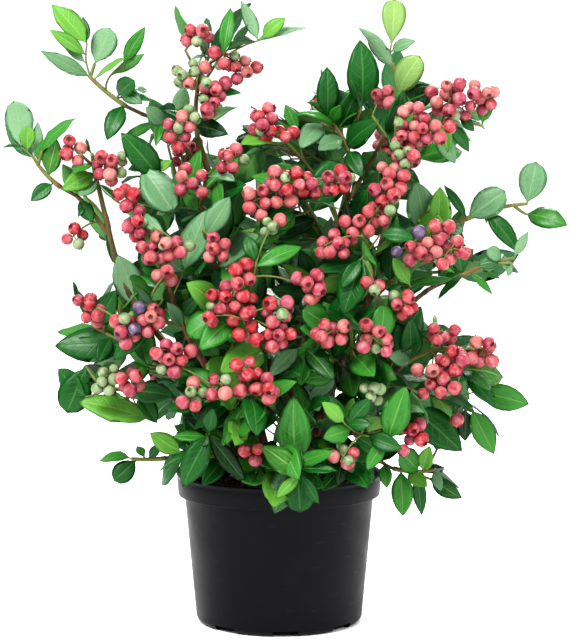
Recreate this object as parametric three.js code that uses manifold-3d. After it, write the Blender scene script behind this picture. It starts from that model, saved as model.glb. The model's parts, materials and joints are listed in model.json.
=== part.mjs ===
// A pink-fruited highbush blueberry growing in a black plastic nursery pot.
//
// Millimetres, +Z up. The origin is on the flat underside of the pot, on the pot's axis, and the
// front of the bush faces -Y.
//
// Canes rise from a flat cut at the compost. Each is one tapering limb, some carry a bough, and
// every limb hands over to masses of foliage. A mass is a stem with side twigs, leaves and berries
// that a seeded rule grows inside a space of its own. The spaces are the cells of a power diagram,
// which are convex and never overlap, so a leaf whose corners are all in the cell is wholly in it.

import * as THREE from "three";
import { mergeVertices } from "three/addons/utils/BufferGeometryUtils.js";
import Module from "manifold-3d";

const wasm = await Module();
wasm.setup();

// ---------------------------------------------------------------- driving dimensions

const GAP = 0.3; // free space left between two pieces that meet

const POT = {
  height: 138.5,
  lipRadius: 95, // a 19 cm, 3 litre pot
  lipTaper: 1.6,
  lipHeight: 20,
  lipWall: 2.4,
  shoulder: 2.5, // how high the lip flares out from the wall
  bead: 1.2,
  cornerSteps: 3,
  rimRoom: 18, // how far inside the lip's edge the foliage keeps away from it
  wallTopRadius: 87.5,
  wallFootRadius: 77,
  cornerRadius: 6,
  wall: 1.7,
  floor: 2.2,
  sides: 36,
  notches: 8,
  notchWidth: 23,
  notchHeight: 5,
  notchDepth: 18,
  notchTurn: 0.1, // how far the first notch stands from +X, as a share of the notches' spacing
};

// How far the foliage reaches.
const CROWN = new THREE.Box3(new THREE.Vector3(-255, -190, 121), new THREE.Vector3(263, 190, 571));

const COMPOST = { top: 125, edgeDrop: 4, flatRadius: 56 };

const TUBE_STEPS = 12; // the straight spans that a limb or shoot is tested as

const LIMB = { sides: 6, ringLength: 38, flare: 0.4, flareHeight: 10, uprightFoot: 16 };
const STEM = { sides: 3, rings: 2, radius: [2.4, 1.5], sideBend: 0.2, tipBend: 0.4 };
const TWIG = {
  radius: [1.7, 1.1],
  length: [0.8, 0.4], // the shortest and what chance adds, as shares of the mass's spread
  shortening: [1.1, 0.45], // the share of that length at the stem's foot, and what its tip takes off
  lean: 50,
  leanSpread: 14,
  swing: 0.6,
  lift: 0.14,
  from: 0.3,
  to: 0.92,
  attempts: 3,
  retry: 0.72, // how much shorter each further attempt is
};
const LEAF = {
  widthShare: 0.54,
  length: [0.82, 0.36], // the shortest and what chance adds, as shares of the mass's leaf length
  thick: 1.4,
  fold: 0.05,
  droop: 0.09,
  spacing: 13,
  sunk: 0.2,
  apart: 5,
  bare: 0.2, // the share of a blade by its foot that may lie against its own shoot
  clearOfFruit: 1,
  tip: { place: 0.98, angle: 8 },
  side: { place: 0.92, span: 0.62, leafy: 0.75, angle: 55 },
  angleSpread: 24,
  swing: 1.2,
  attempts: 10,
  retryTurn: 0.9,
  retryAngle: 9,
  retrySize: [1.1, 0.04],
};
// The way a blade's upper side faces: outward, pulled to the front and back, turned and tipped up.
const FACING = { depth: 1.4, front: 0.15, turn: 2.4, rise: [0.35, 0.75] };
const SAG = 0.6; // how far a mass's sag turns its leaves down
const BERRY = { radius: 6.5, spacing: 4.9, tipSunk: 1.5, tipRoom: 4, perCluster: 6, around: 4, bands: 3 };
const GOLDEN_ANGLE = THREE.MathUtils.degToRad(137.5);
const CENTRE_PLACE = 0.6; // how far along its stem the centre of a mass lies
const SEED = 7919;

// Canes: where the foot stands on the compost, the points the cane bends through, and its radius
// at foot and tip.
const CANES = {
  cane_left: [[-22, -7], [[-81, -15, 230], [-138, -15, 308], [-165, -12, 404]], [5.0, 2.1]],
  cane_upper_left: [[-9, 8], [[-28, 8, 222], [-42, 0, 340], [-74, -5, 446]], [5.6, 2.6]],
  cane_centre: [[6, 16], [[18, 22, 250], [50, 20, 350], [66, 15, 409]], [5.2, 2.5]],
  cane_right: [[24, -4], [[64, -22, 218], [83, -34, 310], [110, -30, 410], [130, -28, 442]], [5.6, 2.5]],
  cane_front_left: [[-17, -24], [[-48, -58, 213], [-83, -82, 278], [-99, -88, 322]], [4.6, 2.2]],
  cane_low_right: [[27, -20], [[62, -50, 196], [112, -60, 246]], [4.4, 2.3]],
  cane_front: [[3, -27], [[4, -72, 200], [-14, -100, 262]], [4.6, 2.2]],
  cane_back_left: [[-16, 24], [[-50, 68, 230], [-84, 100, 320], [-98, 110, 368]], [4.8, 2.3]],
  cane_back_right: [[24, 22], [[60, 58, 235], [94, 90, 325], [108, 100, 378]], [4.8, 2.3]],
  cane_back: [[3, 34], [[5, 80, 218], [-4, 112, 300]], [4.4, 2.2]],
};

// Boughs: the cane and how far along it, the points the bough bends through, and its radii.
const BOUGHS = {
  bough_far_left: ["cane_left", 0.88, [[-178, -13, 388], [-199, -14, 402]], [2.1, 1.6]],
  bough_upper_left: ["cane_upper_left", 0.88, [[-99, -3, 452], [-140, 1, 475]], [2.2, 1.6]],
  bough_right_tip: ["cane_right", 0.62, [[125, -20, 350], [170, -9, 372]], [2.4, 1.7]],
  bough_right_mid: ["cane_right", 0.47, [[128, -38, 305], [163, -34, 322]], [2.4, 1.7]],
  bough_left_low: ["cane_left", 0.24, [[-92, -26, 207], [-124, -36, 216]], [2.5, 1.7]],
  bough_left_bottom: ["cane_left", 0.12, [[-72, -22, 160], [-104, -22, 154]], [2.2, 1.5]],
  bough_right_bottom: ["cane_low_right", 0.3, [[78, -36, 156], [104, -38, 147]], [2.2, 1.5]],
  bough_tall_right: ["cane_centre", 0.86, [[92, 10, 438], [106, 7, 474]], [2.2, 1.6]],
};

// Masses of foliage: the limb and how far along it, the far end of the stem, how far the mass
// spreads round it, and how many twigs, leaves and berries it bears, with the length of a leaf.
// The last number turns the leaves down where it is above 0 and up where it is below.
const MASSES = {
  far_left: ["bough_far_left", 1, [-222, -16, 428], 30, 2, 6, 46, 0, -0.3],
  left_top: ["cane_left", 1, [-168, -28, 436], 30, 2, 4, 50, 6, -0.1],
  upper_left_tip: ["bough_upper_left", 1, [-186, 4, 518], 34, 3, 9, 52, 0, -0.3],
  crown_fruit: ["cane_upper_left", 1, [-62, -5, 522], 34, 4, 6, 54, 10, -0.4],
  upper_left_inner: ["cane_upper_left", 0.78, [-124, -28, 420], 36, 2, 6, 66, 2, 0],
  centre_top: ["cane_centre", 0.8, [-4, -14, 452], 36, 2, 5, 60, 4, -0.1],
  mid_top: ["cane_centre", 1, [44, 10, 464], 38, 2, 6, 62, 0, -0.5],
  tall_right: ["bough_tall_right", 1, [103, 8, 514], 26, 2, 6, 56, 0, -0.7],
  right_top: ["cane_right", 1, [168, -22, 470], 36, 2, 4, 48, 8, -0.1],
  right_upper: ["cane_right", 0.84, [98, -66, 440], 38, 3, 5, 62, 6, -0.1],
  right_tip: ["bough_right_tip", 1, [226, -6, 386], 32, 2, 6, 54, 0, -0.2],
  right_mid_tip: ["bough_right_mid", 1, [212, -31, 338], 26, 1, 5, 46, 0, 0.1],
  right_mid: ["cane_right", 0.56, [138, -80, 345], 40, 2, 5, 64, 4, 0],
  right_low: ["cane_low_right", 1, [168, -64, 258], 40, 3, 5, 64, 8, 0],
  right_low_leaves: ["cane_low_right", 0.82, [166, -22, 206], 42, 3, 7, 66, 0, 0.2],
  right_bottom: ["bough_right_bottom", 1, [140, -40, 146], 28, 2, 6, 48, 0, 0.3],
  left_mid: ["cane_left", 0.42, [-176, -6, 276], 38, 2, 6, 68, 2, 0.1],
  left_low: ["bough_left_low", 1, [-168, -48, 222], 38, 2, 6, 66, 4, 0.2],
  left_bottom: ["bough_left_bottom", 1, [-150, -20, 156], 22, 1, 4, 46, 0, 0.3],
  left_arc: ["cane_front_left", 1, [-128, -72, 380], 34, 2, 4, 56, 6, 0],
  front_left: ["cane_front_left", 0.76, [-122, -112, 284], 40, 2, 5, 64, 6, 0.1],
  centre_left: ["cane_upper_left", 0.5, [-66, -92, 366], 38, 2, 5, 62, 4, 0],
  centre_upper: ["cane_centre", 0.68, [16, -76, 400], 42, 2, 5, 64, 6, 0],
  centre_right: ["cane_right", 0.62, [72, -104, 362], 40, 2, 5, 64, 5, 0],
  centre_mid: ["cane_front", 1, [-32, -132, 308], 42, 3, 5, 64, 6, 0],
  front_right: ["cane_right", 0.36, [62, -126, 284], 40, 2, 6, 64, 4, 0.1],
  front_low_left: ["cane_front", 0.6, [-56, -140, 232], 40, 2, 6, 64, 4, 0.2],
  front_low_mid: ["cane_front", 0.34, [10, -138, 200], 40, 3, 7, 70, 0, 0.2],
  front_low_right: ["cane_low_right", 0.5, [72, -118, 190], 42, 3, 7, 68, 0, 0.3],
  bottom_left: ["cane_front_left", 0.2, [-70, -94, 168], 40, 3, 7, 68, 0, 0.6],
  middle: ["cane_centre", 0.5, [36, -46, 318], 36, 2, 5, 62, 0, 0],
  back_top_left: ["cane_back_left", 1, [-84, 104, 436], 42, 2, 6, 66, 4, -0.2],
  back_top: ["cane_centre", 0.92, [12, 84, 446], 42, 2, 6, 66, 3, -0.2],
  back_top_right: ["cane_back_right", 1, [100, 94, 442], 42, 2, 6, 66, 4, -0.2],
  back_left: ["cane_back_left", 0.66, [-158, 78, 322], 44, 2, 6, 66, 4, 0],
  back_mid: ["cane_back", 1, [-8, 166, 350], 44, 2, 6, 66, 5, 0],
  back_right: ["cane_back_right", 0.66, [158, 76, 318], 44, 2, 6, 66, 4, 0],
  back_low_left: ["cane_back_left", 0.32, [-112, 126, 222], 42, 2, 6, 68, 0, 0.3],
  back_low: ["cane_back", 0.5, [6, 160, 224], 42, 2, 6, 68, 3, 0.3],
  back_low_right: ["cane_back_right", 0.32, [120, 122, 222], 42, 2, 6, 68, 0, 0.3],
};

const FINISHES = {
  pot: { color: 0x1b1c1f, roughness: 0.45 },
  compost: { color: 0x3a2a1f, roughness: 0.95 },
  bark: { color: 0x6d4a33, roughness: 0.8 },
  foliage: { color: 0x2f6a34, roughness: 0.55 },
};

// ---------------------------------------------------------------- small helpers

// A linear congruential stream of numbers from 0 to 1.
function randomStream(seed) {
  let state = seed;
  return () => {
    state = (state * 1664525 + 1013904223) % 4294967296;
    return state / 4294967296;
  };
}

const vector = (xyz) => new THREE.Vector3(...xyz);

// Two unit vectors square to a direction, always the same two for the same direction.
function squareTo(direction) {
  const upright = Math.abs(direction.z) > 0.9;
  const reference = upright ? new THREE.Vector3(1, 0, 0) : new THREE.Vector3(0, 0, 1);
  const across = new THREE.Vector3().crossVectors(direction, reference).normalize();
  return [across, new THREE.Vector3().crossVectors(direction, across)];
}

// A direction leant away from an axis by an angle, towards an azimuth round that axis.
function leant(axis, azimuth, angle) {
  const [across, along] = squareTo(axis);
  return axis
    .clone()
    .multiplyScalar(Math.cos(angle))
    .addScaledVector(across, Math.sin(angle) * Math.cos(azimuth))
    .addScaledVector(along, Math.sin(angle) * Math.sin(azimuth));
}

// A closed geometry as a manifold-3d solid, facing out.
function solidOf(geometry) {
  geometry.deleteAttribute("normal");
  geometry.deleteAttribute("uv");
  const merged = mergeVertices(geometry, 1e-4);
  const vertProperties = merged.attributes.position.array;
  const make = (triVerts) => new wasm.Manifold(new wasm.Mesh({ numProp: 3, vertProperties, triVerts }));
  const triangles = new Uint32Array(merged.index.array);
  const solid = make(triangles);
  return solid.volume() > 0 ? solid : make(triangles.reverse());
}

// The largest body of a solid. Loose scraps go, and so does the skin of a sealed hollow.
function largestBody(solid) {
  return solid.decompose().reduce((best, body) => (body.volume() > best.volume() ? body : best));
}

function named(name, solid, finish) {
  const { vertProperties, triVerts } = solid.getMesh();
  const geometry = new THREE.BufferGeometry();
  geometry.setAttribute("position", new THREE.BufferAttribute(vertProperties, 3));
  geometry.setIndex(new THREE.BufferAttribute(triVerts, 1));
  geometry.computeVertexNormals();
  const mesh = new THREE.Mesh(geometry, new THREE.MeshStandardMaterial({ ...finish, metalness: 0 }));
  mesh.name = name;
  return mesh;
}

// A limb, stem or twig: a curve with a radius for each place from 0 at its start to 1 at its end.
function makeTube(curve, [startRadius, endRadius], flare = 0) {
  const length = curve.getLength();
  const swell = (t) => 1 + flare * Math.exp((-t * length) / LIMB.flareHeight);
  const radiusAt = (t) => THREE.MathUtils.lerp(startRadius, endRadius, t) * swell(t);
  return { curve, length, radiusAt, samples: curve.getPoints(TUBE_STEPS) };
}

// How far a point is from the skin of a tube.
function clearanceOf(tube, p) {
  const closest = new THREE.Vector3();
  const line = new THREE.Line3();
  return tube.samples.slice(1).reduce((best, end, i) => {
    line.set(tube.samples[i], end).closestPointToPoint(p, true, closest);
    return Math.min(best, closest.distanceTo(p) - tube.radiusAt(i / TUBE_STEPS));
  }, Infinity);
}

// A cylinder bent along the tube's curve, its section carried from ring to ring without twist.
function sweep(tube, sides, rings, extra = 0) {
  const geometry = new THREE.CylinderGeometry(1, 1, 1, sides, rings);
  const tangents = Array.from({ length: rings + 1 }, (_, i) => tube.curve.getTangent(i / rings));
  const acrosses = [squareTo(tangents[0])[0]];
  for (let i = 1; i <= rings; i++) {
    acrosses.push(acrosses[i - 1].clone().projectOnPlane(tangents[i]).normalize());
  }
  const position = geometry.attributes.position;
  for (let i = 0; i < position.count; i++) {
    const ring = Math.round((position.getY(i) + 0.5) * rings);
    const along = new THREE.Vector3().crossVectors(tangents[ring], acrosses[ring]);
    const radius = tube.radiusAt(ring / rings) + extra;
    const point = tube.curve.getPoint(ring / rings);
    point.addScaledVector(acrosses[ring], position.getX(i) * radius);
    point.addScaledVector(along, -position.getZ(i) * radius);
    position.setXYZ(i, point.x, point.y, point.z);
  }
  return solidOf(geometry);
}

// ---------------------------------------------------------------- pot and compost

const lipFoot = POT.height - POT.lipHeight;

// The radius of the pot's outer wall at a height above its rounded foot.
function wallRadius(z) {
  const share = (z - POT.cornerRadius) / (lipFoot - POT.cornerRadius);
  return THREE.MathUtils.lerp(POT.wallFootRadius, POT.wallTopRadius, share);
}

function lathe(profile) {
  const points = profile.map(([radius, z]) => new THREE.Vector2(radius, z));
  return solidOf(new THREE.LatheGeometry(points, POT.sides).rotateX(Math.PI / 2));
}

function makePot() {
  const { height, lipRadius, lipTaper, lipWall, shoulder, bead } = POT;
  const { cornerRadius, cornerSteps, wallFootRadius, wall, floor } = POT;
  const corner = Array.from({ length: cornerSteps + 1 }, (_, step) => {
    const angle = (step * Math.PI) / (2 * cornerSteps);
    return [wallFootRadius - cornerRadius * (1 - Math.sin(angle)), cornerRadius * (1 - Math.cos(angle))];
  });
  const outside = [
    [0, 0],
    ...corner,
    [wallRadius(lipFoot), lipFoot],
    [lipRadius - lipTaper, lipFoot + shoulder],
    [lipRadius, height - bead],
    [lipRadius - bead, height],
    [lipRadius - 2.4 * bead, height],
  ];
  const inside = [
    [lipRadius - 3 * bead, height - 2],
    [lipRadius - lipTaper - lipWall, lipFoot + shoulder + 0.5],
    [wallRadius(lipFoot) - wall, lipFoot - 1],
    [wallRadius(cornerRadius) - wall, cornerRadius + 1],
    [wallFootRadius - cornerRadius, floor],
    [0, floor],
  ];
  let pot = lathe([...outside, ...inside]);
  for (let i = 0; i < POT.notches; i++) {
    const notch = new THREE.BoxGeometry(POT.notchDepth, POT.notchWidth, 2 * POT.notchHeight);
    notch.translate(wallFootRadius, 0, 0);
    notch.rotateZ(((i + POT.notchTurn) / POT.notches) * 2 * Math.PI);
    pot = pot.subtract(solidOf(notch));
  }
  return largestBody(pot);
}

function makeCompost() {
  const { wallFootRadius, cornerRadius, wall, floor } = POT;
  const sideRadius = wallRadius(lipFoot) - wall - 3 * GAP;
  return lathe([
    [0, floor + GAP],
    [wallFootRadius - cornerRadius - GAP, floor + GAP],
    [wallRadius(cornerRadius) - wall - 2 * GAP, cornerRadius + 1 + GAP],
    [sideRadius, COMPOST.top - COMPOST.edgeDrop],
    [COMPOST.flatRadius, COMPOST.top],
    [0, COMPOST.top],
  ]);
}

// True where a ball would touch the compost or the pot, with room for the rim inside as well.
function meetsPot(p, radius) {
  const distance = Math.hypot(p.x, p.y);
  if (p.z > POT.height + radius || distance > POT.lipRadius + radius) return false;
  return distance > POT.lipRadius - POT.rimRoom || p.z < COMPOST.top + radius;
}

// ---------------------------------------------------------------- laying out limbs and masses

const limbs = {};
const masses = {};

const smoothCurve = (points) => new THREE.CatmullRomCurve3(points, false, "catmullrom", 0.5);

// A cane leaves the compost upright, so its foot is a level cut.
function layOutCanes() {
  const ground = COMPOST.top + GAP;
  for (const [name, [foot, bends, radii]] of Object.entries(CANES)) {
    const start = [[...foot, ground], [...foot, ground + LIMB.uprightFoot]];
    limbs[name] = makeTube(smoothCurve([...start, ...bends].map(vector)), radii, LIMB.flare);
  }
}

function layOutBoughs() {
  for (const [name, [cane, place, bends, radii]] of Object.entries(BOUGHS)) {
    const start = limbs[cane].curve.getPoint(place);
    limbs[name] = makeTube(smoothCurve([start, ...bends.map(vector)]), radii);
  }
}

// A mass's stem carries on from the tip of its limb, or bends out of the limb's side.
function layOutMasses() {
  for (const [name, row] of Object.entries(MASSES)) {
    const [limb, place, tipPlace, spread, twigs, leaves, leafLength, berries, sag] = row;
    const { curve } = limbs[limb];
    const heading = curve.getTangent(place);
    const start = curve.getPoint(place);
    if (place === 1) start.addScaledVector(heading, GAP);
    const tip = vector(tipPlace);
    const reach = tip.clone().sub(start);
    const carriedOn = (place === 1 ? STEM.tipBend : STEM.sideBend) * reach.length();
    const bend = start.clone().addScaledVector(heading, carriedOn).addScaledVector(reach, STEM.sideBend);
    const stem = makeTube(new THREE.QuadraticBezierCurve3(start, bend, tip), STEM.radius);
    const centre = start.clone().lerp(tip, CENTRE_PLACE);
    const outward = new THREE.Vector3(centre.x, centre.y, 0).normalize();
    masses[name] = { stem, centre, outward, spread, twigs, leaves, leafLength, berries, sag };
  }
}

function limbSolid(name, extra = 0) {
  const rings = Math.max(3, Math.round(limbs[name].length / LIMB.ringLength));
  return sweep(limbs[name], LIMB.sides, rings, extra);
}

// The flat walls between a mass's cell and the others' cells, as [normal, offset].
function wallsOf(name) {
  const own = masses[name];
  const others = Object.keys(masses).filter((other) => other !== name);
  return others.map((other) => {
    const { centre, spread } = masses[other];
    const normal = centre.clone().sub(own.centre);
    const distance = normal.length();
    const share = (distance ** 2 + own.spread ** 2 - spread ** 2) / (2 * distance);
    normal.divideScalar(distance);
    return [normal, normal.dot(own.centre) + share];
  });
}

// What a mass may fill: its cell, less the pot, the limbs near it and the other masses' stems.
function spaceOf(name) {
  const { centre, spread, leafLength } = masses[name];
  const walls = wallsOf(name);
  const reach = spread + 2 * leafLength;
  const isNear = ({ samples }) => samples.some((p) => p.distanceTo(centre) < reach);
  const nearLimbs = Object.keys(limbs).filter((limb) => isNear(limbs[limb]));
  const otherStems = Object.keys(masses).filter((other) => other !== name && isNear(masses[other].stem));
  const tubes = [...nearLimbs.map((limb) => limbs[limb]), ...otherStems.map((other) => masses[other].stem)];
  const holds = (p, radius) =>
    walls.every(([normal, offset]) => normal.dot(p) + radius + GAP / 2 < offset) &&
    CROWN.containsPoint(p) &&
    !meetsPot(p, radius + 2 * GAP) &&
    tubes.every((tube) => clearanceOf(tube, p) > radius + 2 * GAP);
  return { holds, nearLimbs };
}

// ---------------------------------------------------------------- leaves and berries

// A blade's outline as [share of its length, share of its width], from the tip round to the foot.
const LEAF_OUTLINE = [
  [1, 0],
  [0.72, 0.46],
  [0.38, 0.46],
  [0, 0],
  [0.38, -0.46],
  [0.72, -0.46],
];

// Where the places of a blade lie: it is folded a little along its midrib, and droops to its tip.
function leafPlacer(foot, direction, facing, length) {
  const side = new THREE.Vector3().crossVectors(facing, direction).normalize();
  const normal = new THREE.Vector3().crossVectors(direction, side);
  return (along, across, up = 0) => {
    const lift = LEAF.fold * Math.abs(across) * 2 - LEAF.droop * along * along;
    return foot
      .clone()
      .addScaledVector(direction, along * length)
      .addScaledVector(side, across * length * LEAF.widthShare)
      .addScaledVector(normal, up + lift * length);
  };
}

// A flat double pyramid on the six corners of the outline.
function leafSolid({ place }) {
  const geometry = new THREE.SphereGeometry(1, LEAF_OUTLINE.length, 2);
  const position = geometry.attributes.position;
  for (let i = 0; i < position.count; i++) {
    const height = Math.round(position.getY(i));
    const turn = Math.atan2(position.getZ(i), position.getX(i)) / (2 * Math.PI);
    const corner = LEAF_OUTLINE[Math.round((turn + 1) * LEAF_OUTLINE.length) % LEAF_OUTLINE.length];
    const p = height === 0 ? place(...corner) : place(0.5, 0, (height * LEAF.thick) / 2);
    position.setXYZ(i, p.x, p.y, p.z);
  }
  return solidOf(geometry);
}

// Where a blade is tested across its width, as [share of its length, half its width there].
const LEAF_TESTS = [
  [0.2, 0.24],
  [0.38, 0.46],
  [0.55, 0.46],
  [0.72, 0.46],
  [0.86, 0.23],
];

// Points spread over a blade, its corners among them, to test what it would touch.
function leafPoints(place) {
  const points = LEAF_OUTLINE.map((corner) => place(...corner));
  for (const [along, half] of LEAF_TESTS) {
    for (const share of [-1, -0.5, 0, 0.5, 1]) points.push(place(along, half * share));
  }
  return points;
}

// Berries set spirally round the last stretch of a shoot, the first one on its tip.
function makeCluster(shoot, count, random) {
  const phase = random() * 2 * Math.PI;
  return Array.from({ length: count }, (_, i) => {
    const back = i === 0 ? BERRY.tipSunk : BERRY.tipRoom + i * BERRY.spacing;
    const place = 1 - back / shoot.length;
    const tangent = shoot.curve.getTangent(place);
    const towards = i === 0 ? tangent : leant(tangent, phase + i * GOLDEN_ANGLE, Math.PI / 2);
    return { centre: shoot.curve.getPoint(place).addScaledVector(towards, BERRY.radius), towards };
  });
}

// A berry's pole points back at its shoot and is sunk in it.
function berrySolid({ centre, towards }) {
  const geometry = new THREE.SphereGeometry(BERRY.radius, BERRY.around, BERRY.bands);
  const upright = new THREE.Vector3(0, 1, 0);
  geometry.applyQuaternion(new THREE.Quaternion().setFromUnitVectors(upright, towards));
  return solidOf(geometry.translate(centre.x, centre.y, centre.z));
}

// ---------------------------------------------------------------- growing a mass

// Side twigs leave the stem in a spiral, shorter towards its tip, each bending up a little.
function growShoots(mass, space, random) {
  const { stem, spread, twigs } = mass;
  const shoots = [stem];
  const phase = random() * 2 * Math.PI;
  for (let i = 0; i < twigs; i++) {
    const place = THREE.MathUtils.lerp(TWIG.from, TWIG.to, (i + 0.5) / twigs);
    const azimuth = phase + i * GOLDEN_ANGLE + (random() - 0.5) * TWIG.swing;
    const lean = THREE.MathUtils.degToRad(TWIG.lean + (random() - 0.5) * 2 * TWIG.leanSpread);
    const share = TWIG.length[0] + TWIG.length[1] * random();
    let length = spread * share * (TWIG.shortening[0] - TWIG.shortening[1] * place);
    const start = stem.curve.getPoint(place);
    const heading = leant(stem.curve.getTangent(place), azimuth, lean);
    for (let attempt = 0; attempt < TWIG.attempts; attempt++, length *= TWIG.retry) {
      const bend = start.clone().addScaledVector(heading, length * 0.5);
      const end = start.clone().addScaledVector(heading, length);
      end.z += length * TWIG.lift;
      const twig = makeTube(new THREE.QuadraticBezierCurve3(start, bend, end), TWIG.radius);
      if (twig.samples.slice(4).every((p) => space.holds(p, TWIG.radius[0]))) {
        shoots.push(twig);
        break;
      }
    }
  }
  return shoots;
}

// Berries end the stem first, then the twigs that point most outward.
function growBerries(mass, shoots, space, random) {
  const reachOut = (shoot) => shoot.curve.getPoint(1).dot(mass.outward);
  const [stem, ...twigs] = shoots;
  const berries = [];
  for (const shoot of [stem, ...twigs.sort((a, b) => reachOut(b) - reachOut(a))]) {
    const wanted = Math.min(mass.berries - berries.length, BERRY.perCluster);
    if (wanted <= 0) break;
    const others = shoots.filter((other) => other !== shoot);
    const cluster = makeCluster(shoot, wanted, random).filter(
      ({ centre }) =>
        space.holds(centre, BERRY.radius) &&
        others.every((other) => clearanceOf(other, centre) > BERRY.radius) &&
        berries.every((berry) => berry.centre.distanceTo(centre) > 2 * BERRY.radius),
    );
    berries.push(...cluster);
    shoot.bearsFruit = cluster.length > 0;
  }
  return berries;
}

// Leaves sit alternately along every shoot, with one at each tip that bears no fruit.
function leafSites(shoots) {
  const sites = [];
  for (const [index, shoot] of shoots.entries()) {
    if (!shoot.bearsFruit) sites.push({ shoot, azimuth: 0, rank: 0, ...LEAF.tip });
    const { place, span, leafy, angle } = LEAF.side;
    const count = Math.max(1, Math.floor((shoot.length * leafy) / LEAF.spacing));
    for (let i = 0; i < count; i++) {
      const azimuth = index * 2 + i * GOLDEN_ANGLE;
      sites.push({ shoot, place: place - (span * i) / count, azimuth, angle, rank: i + 1 });
    }
  }
  return sites.sort((a, b) => a.rank - b.rank);
}

function growLeaves(mass, shoots, berries, space, random) {
  const leaves = [];
  const { outward, sag } = mass;
  const fruitRoom = BERRY.radius + LEAF.clearOfFruit;
  for (const site of leafSites(shoots)) {
    if (leaves.length >= mass.leaves) break;
    const length = mass.leafLength * (LEAF.length[0] + LEAF.length[1] * random());
    const [swing, tilt, turn, spin] = [random(), random(), random(), random()];
    const tangent = site.shoot.curve.getTangent(site.place);
    const others = shoots.filter((shoot) => shoot !== site.shoot);
    const outwards = Math.atan2(outward.y * FACING.depth - FACING.front, outward.x);
    const face = outwards + (spin - 0.5) * FACING.turn;
    const rise = FACING.rise[0] + FACING.rise[1] * turn;
    const facing = new THREE.Vector3(Math.cos(face), Math.sin(face), rise);
    for (let attempt = 0; attempt < LEAF.attempts; attempt++) {
      const azimuth = site.azimuth + swing * LEAF.swing + attempt * LEAF.retryTurn;
      const degrees = site.angle + tilt * LEAF.angleSpread - (attempt % 3) * LEAF.retryAngle;
      const direction = leant(tangent, azimuth, THREE.MathUtils.degToRad(degrees));
      direction.z -= sag * SAG;
      direction.normalize();
      const foot = site.shoot.curve.getPoint(site.place).addScaledVector(direction, -LEAF.sunk);
      const size = LEAF.retrySize[0] - LEAF.retrySize[1] * attempt;
      const place = leafPlacer(foot, direction, facing, length * size);
      const points = leafPoints(place);
      const blade = points.filter((p) => p.distanceTo(foot) > length * LEAF.bare);
      const fits =
        points.every((p) => space.holds(p, LEAF.thick / 2)) &&
        blade.every((p) => others.every((other) => clearanceOf(other, p) > LEAF.thick)) &&
        berries.every(({ centre }) => points.every((p) => p.distanceTo(centre) > fruitRoom)) &&
        leaves.every((leaf) => leaf.blade.every((p) => blade.every((q) => p.distanceTo(q) > LEAF.apart)));
      if (fits) {
        leaves.push({ place, blade });
        break;
      }
    }
  }
  return leaves;
}

function makeMass(name, index) {
  const mass = masses[name];
  const space = spaceOf(name);
  const random = randomStream(SEED * (index + 1));
  const shoots = growShoots(mass, space, random);
  const berries = growBerries(mass, shoots, space, random);
  const leaves = growLeaves(mass, shoots, berries, space, random);
  const solid = wasm.Manifold.union([
    ...shoots.map((shoot) => sweep(shoot, STEM.sides, shoot === mass.stem ? STEM.rings : 1)),
    ...berries.map(berrySolid),
    ...leaves.map(leafSolid),
  ]);
  return largestBody(space.nearLimbs.reduce((rest, limb) => rest.subtract(limbSolid(limb, GAP)), solid));
}

// ---------------------------------------------------------------- the bush

layOutCanes();
layOutBoughs();
layOutMasses();

const bush = new THREE.Group();
bush.add(named("pot", makePot(), FINISHES.pot));
bush.add(named("compost", makeCompost(), FINISHES.compost));

for (const name of Object.keys(CANES)) bush.add(named(name, limbSolid(name), FINISHES.bark));

for (const [name, [cane]] of Object.entries(BOUGHS)) {
  const cut = limbSolid(name).subtract(limbSolid(cane, GAP));
  bush.add(named(name, largestBody(cut), FINISHES.bark));
}

Object.keys(MASSES).forEach((name, index) => {
  bush.add(named(`foliage_${name}`, makeMass(name, index), FINISHES.foliage));
});

export default bush;
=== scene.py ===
"""The looks of a pink-fruited highbush blueberry in a black plastic nursery pot.

The tables and the growing rule are those of the part's source, in millimetres, so every shoot here
lies where the solid's does. Finer sprigs, leaves and berries of real size then grow on from them.
"""

import functools
import json
import math

import bpy
import numpy as np
from mathutils import Matrix, Vector, noise

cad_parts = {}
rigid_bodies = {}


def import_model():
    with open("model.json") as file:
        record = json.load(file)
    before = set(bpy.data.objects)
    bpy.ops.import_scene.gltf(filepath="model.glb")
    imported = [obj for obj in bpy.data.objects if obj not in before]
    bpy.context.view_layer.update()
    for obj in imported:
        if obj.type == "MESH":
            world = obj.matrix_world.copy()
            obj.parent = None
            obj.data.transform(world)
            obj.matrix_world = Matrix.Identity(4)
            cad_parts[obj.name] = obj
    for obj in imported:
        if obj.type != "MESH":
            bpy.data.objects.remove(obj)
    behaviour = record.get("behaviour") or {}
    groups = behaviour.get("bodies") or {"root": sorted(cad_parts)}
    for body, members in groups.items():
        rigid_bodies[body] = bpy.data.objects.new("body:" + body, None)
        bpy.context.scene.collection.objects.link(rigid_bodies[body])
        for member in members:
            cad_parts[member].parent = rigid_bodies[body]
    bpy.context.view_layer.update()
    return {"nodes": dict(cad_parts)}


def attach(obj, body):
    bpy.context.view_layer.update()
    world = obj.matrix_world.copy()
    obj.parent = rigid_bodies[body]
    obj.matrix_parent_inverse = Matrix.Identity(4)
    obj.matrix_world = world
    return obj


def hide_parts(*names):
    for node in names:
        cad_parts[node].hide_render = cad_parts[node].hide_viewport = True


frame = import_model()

MM = 0.001  # the tables are in millimetres, and Blender's objects in metres

# ---------------------------------------------------------------- driving dimensions

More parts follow.
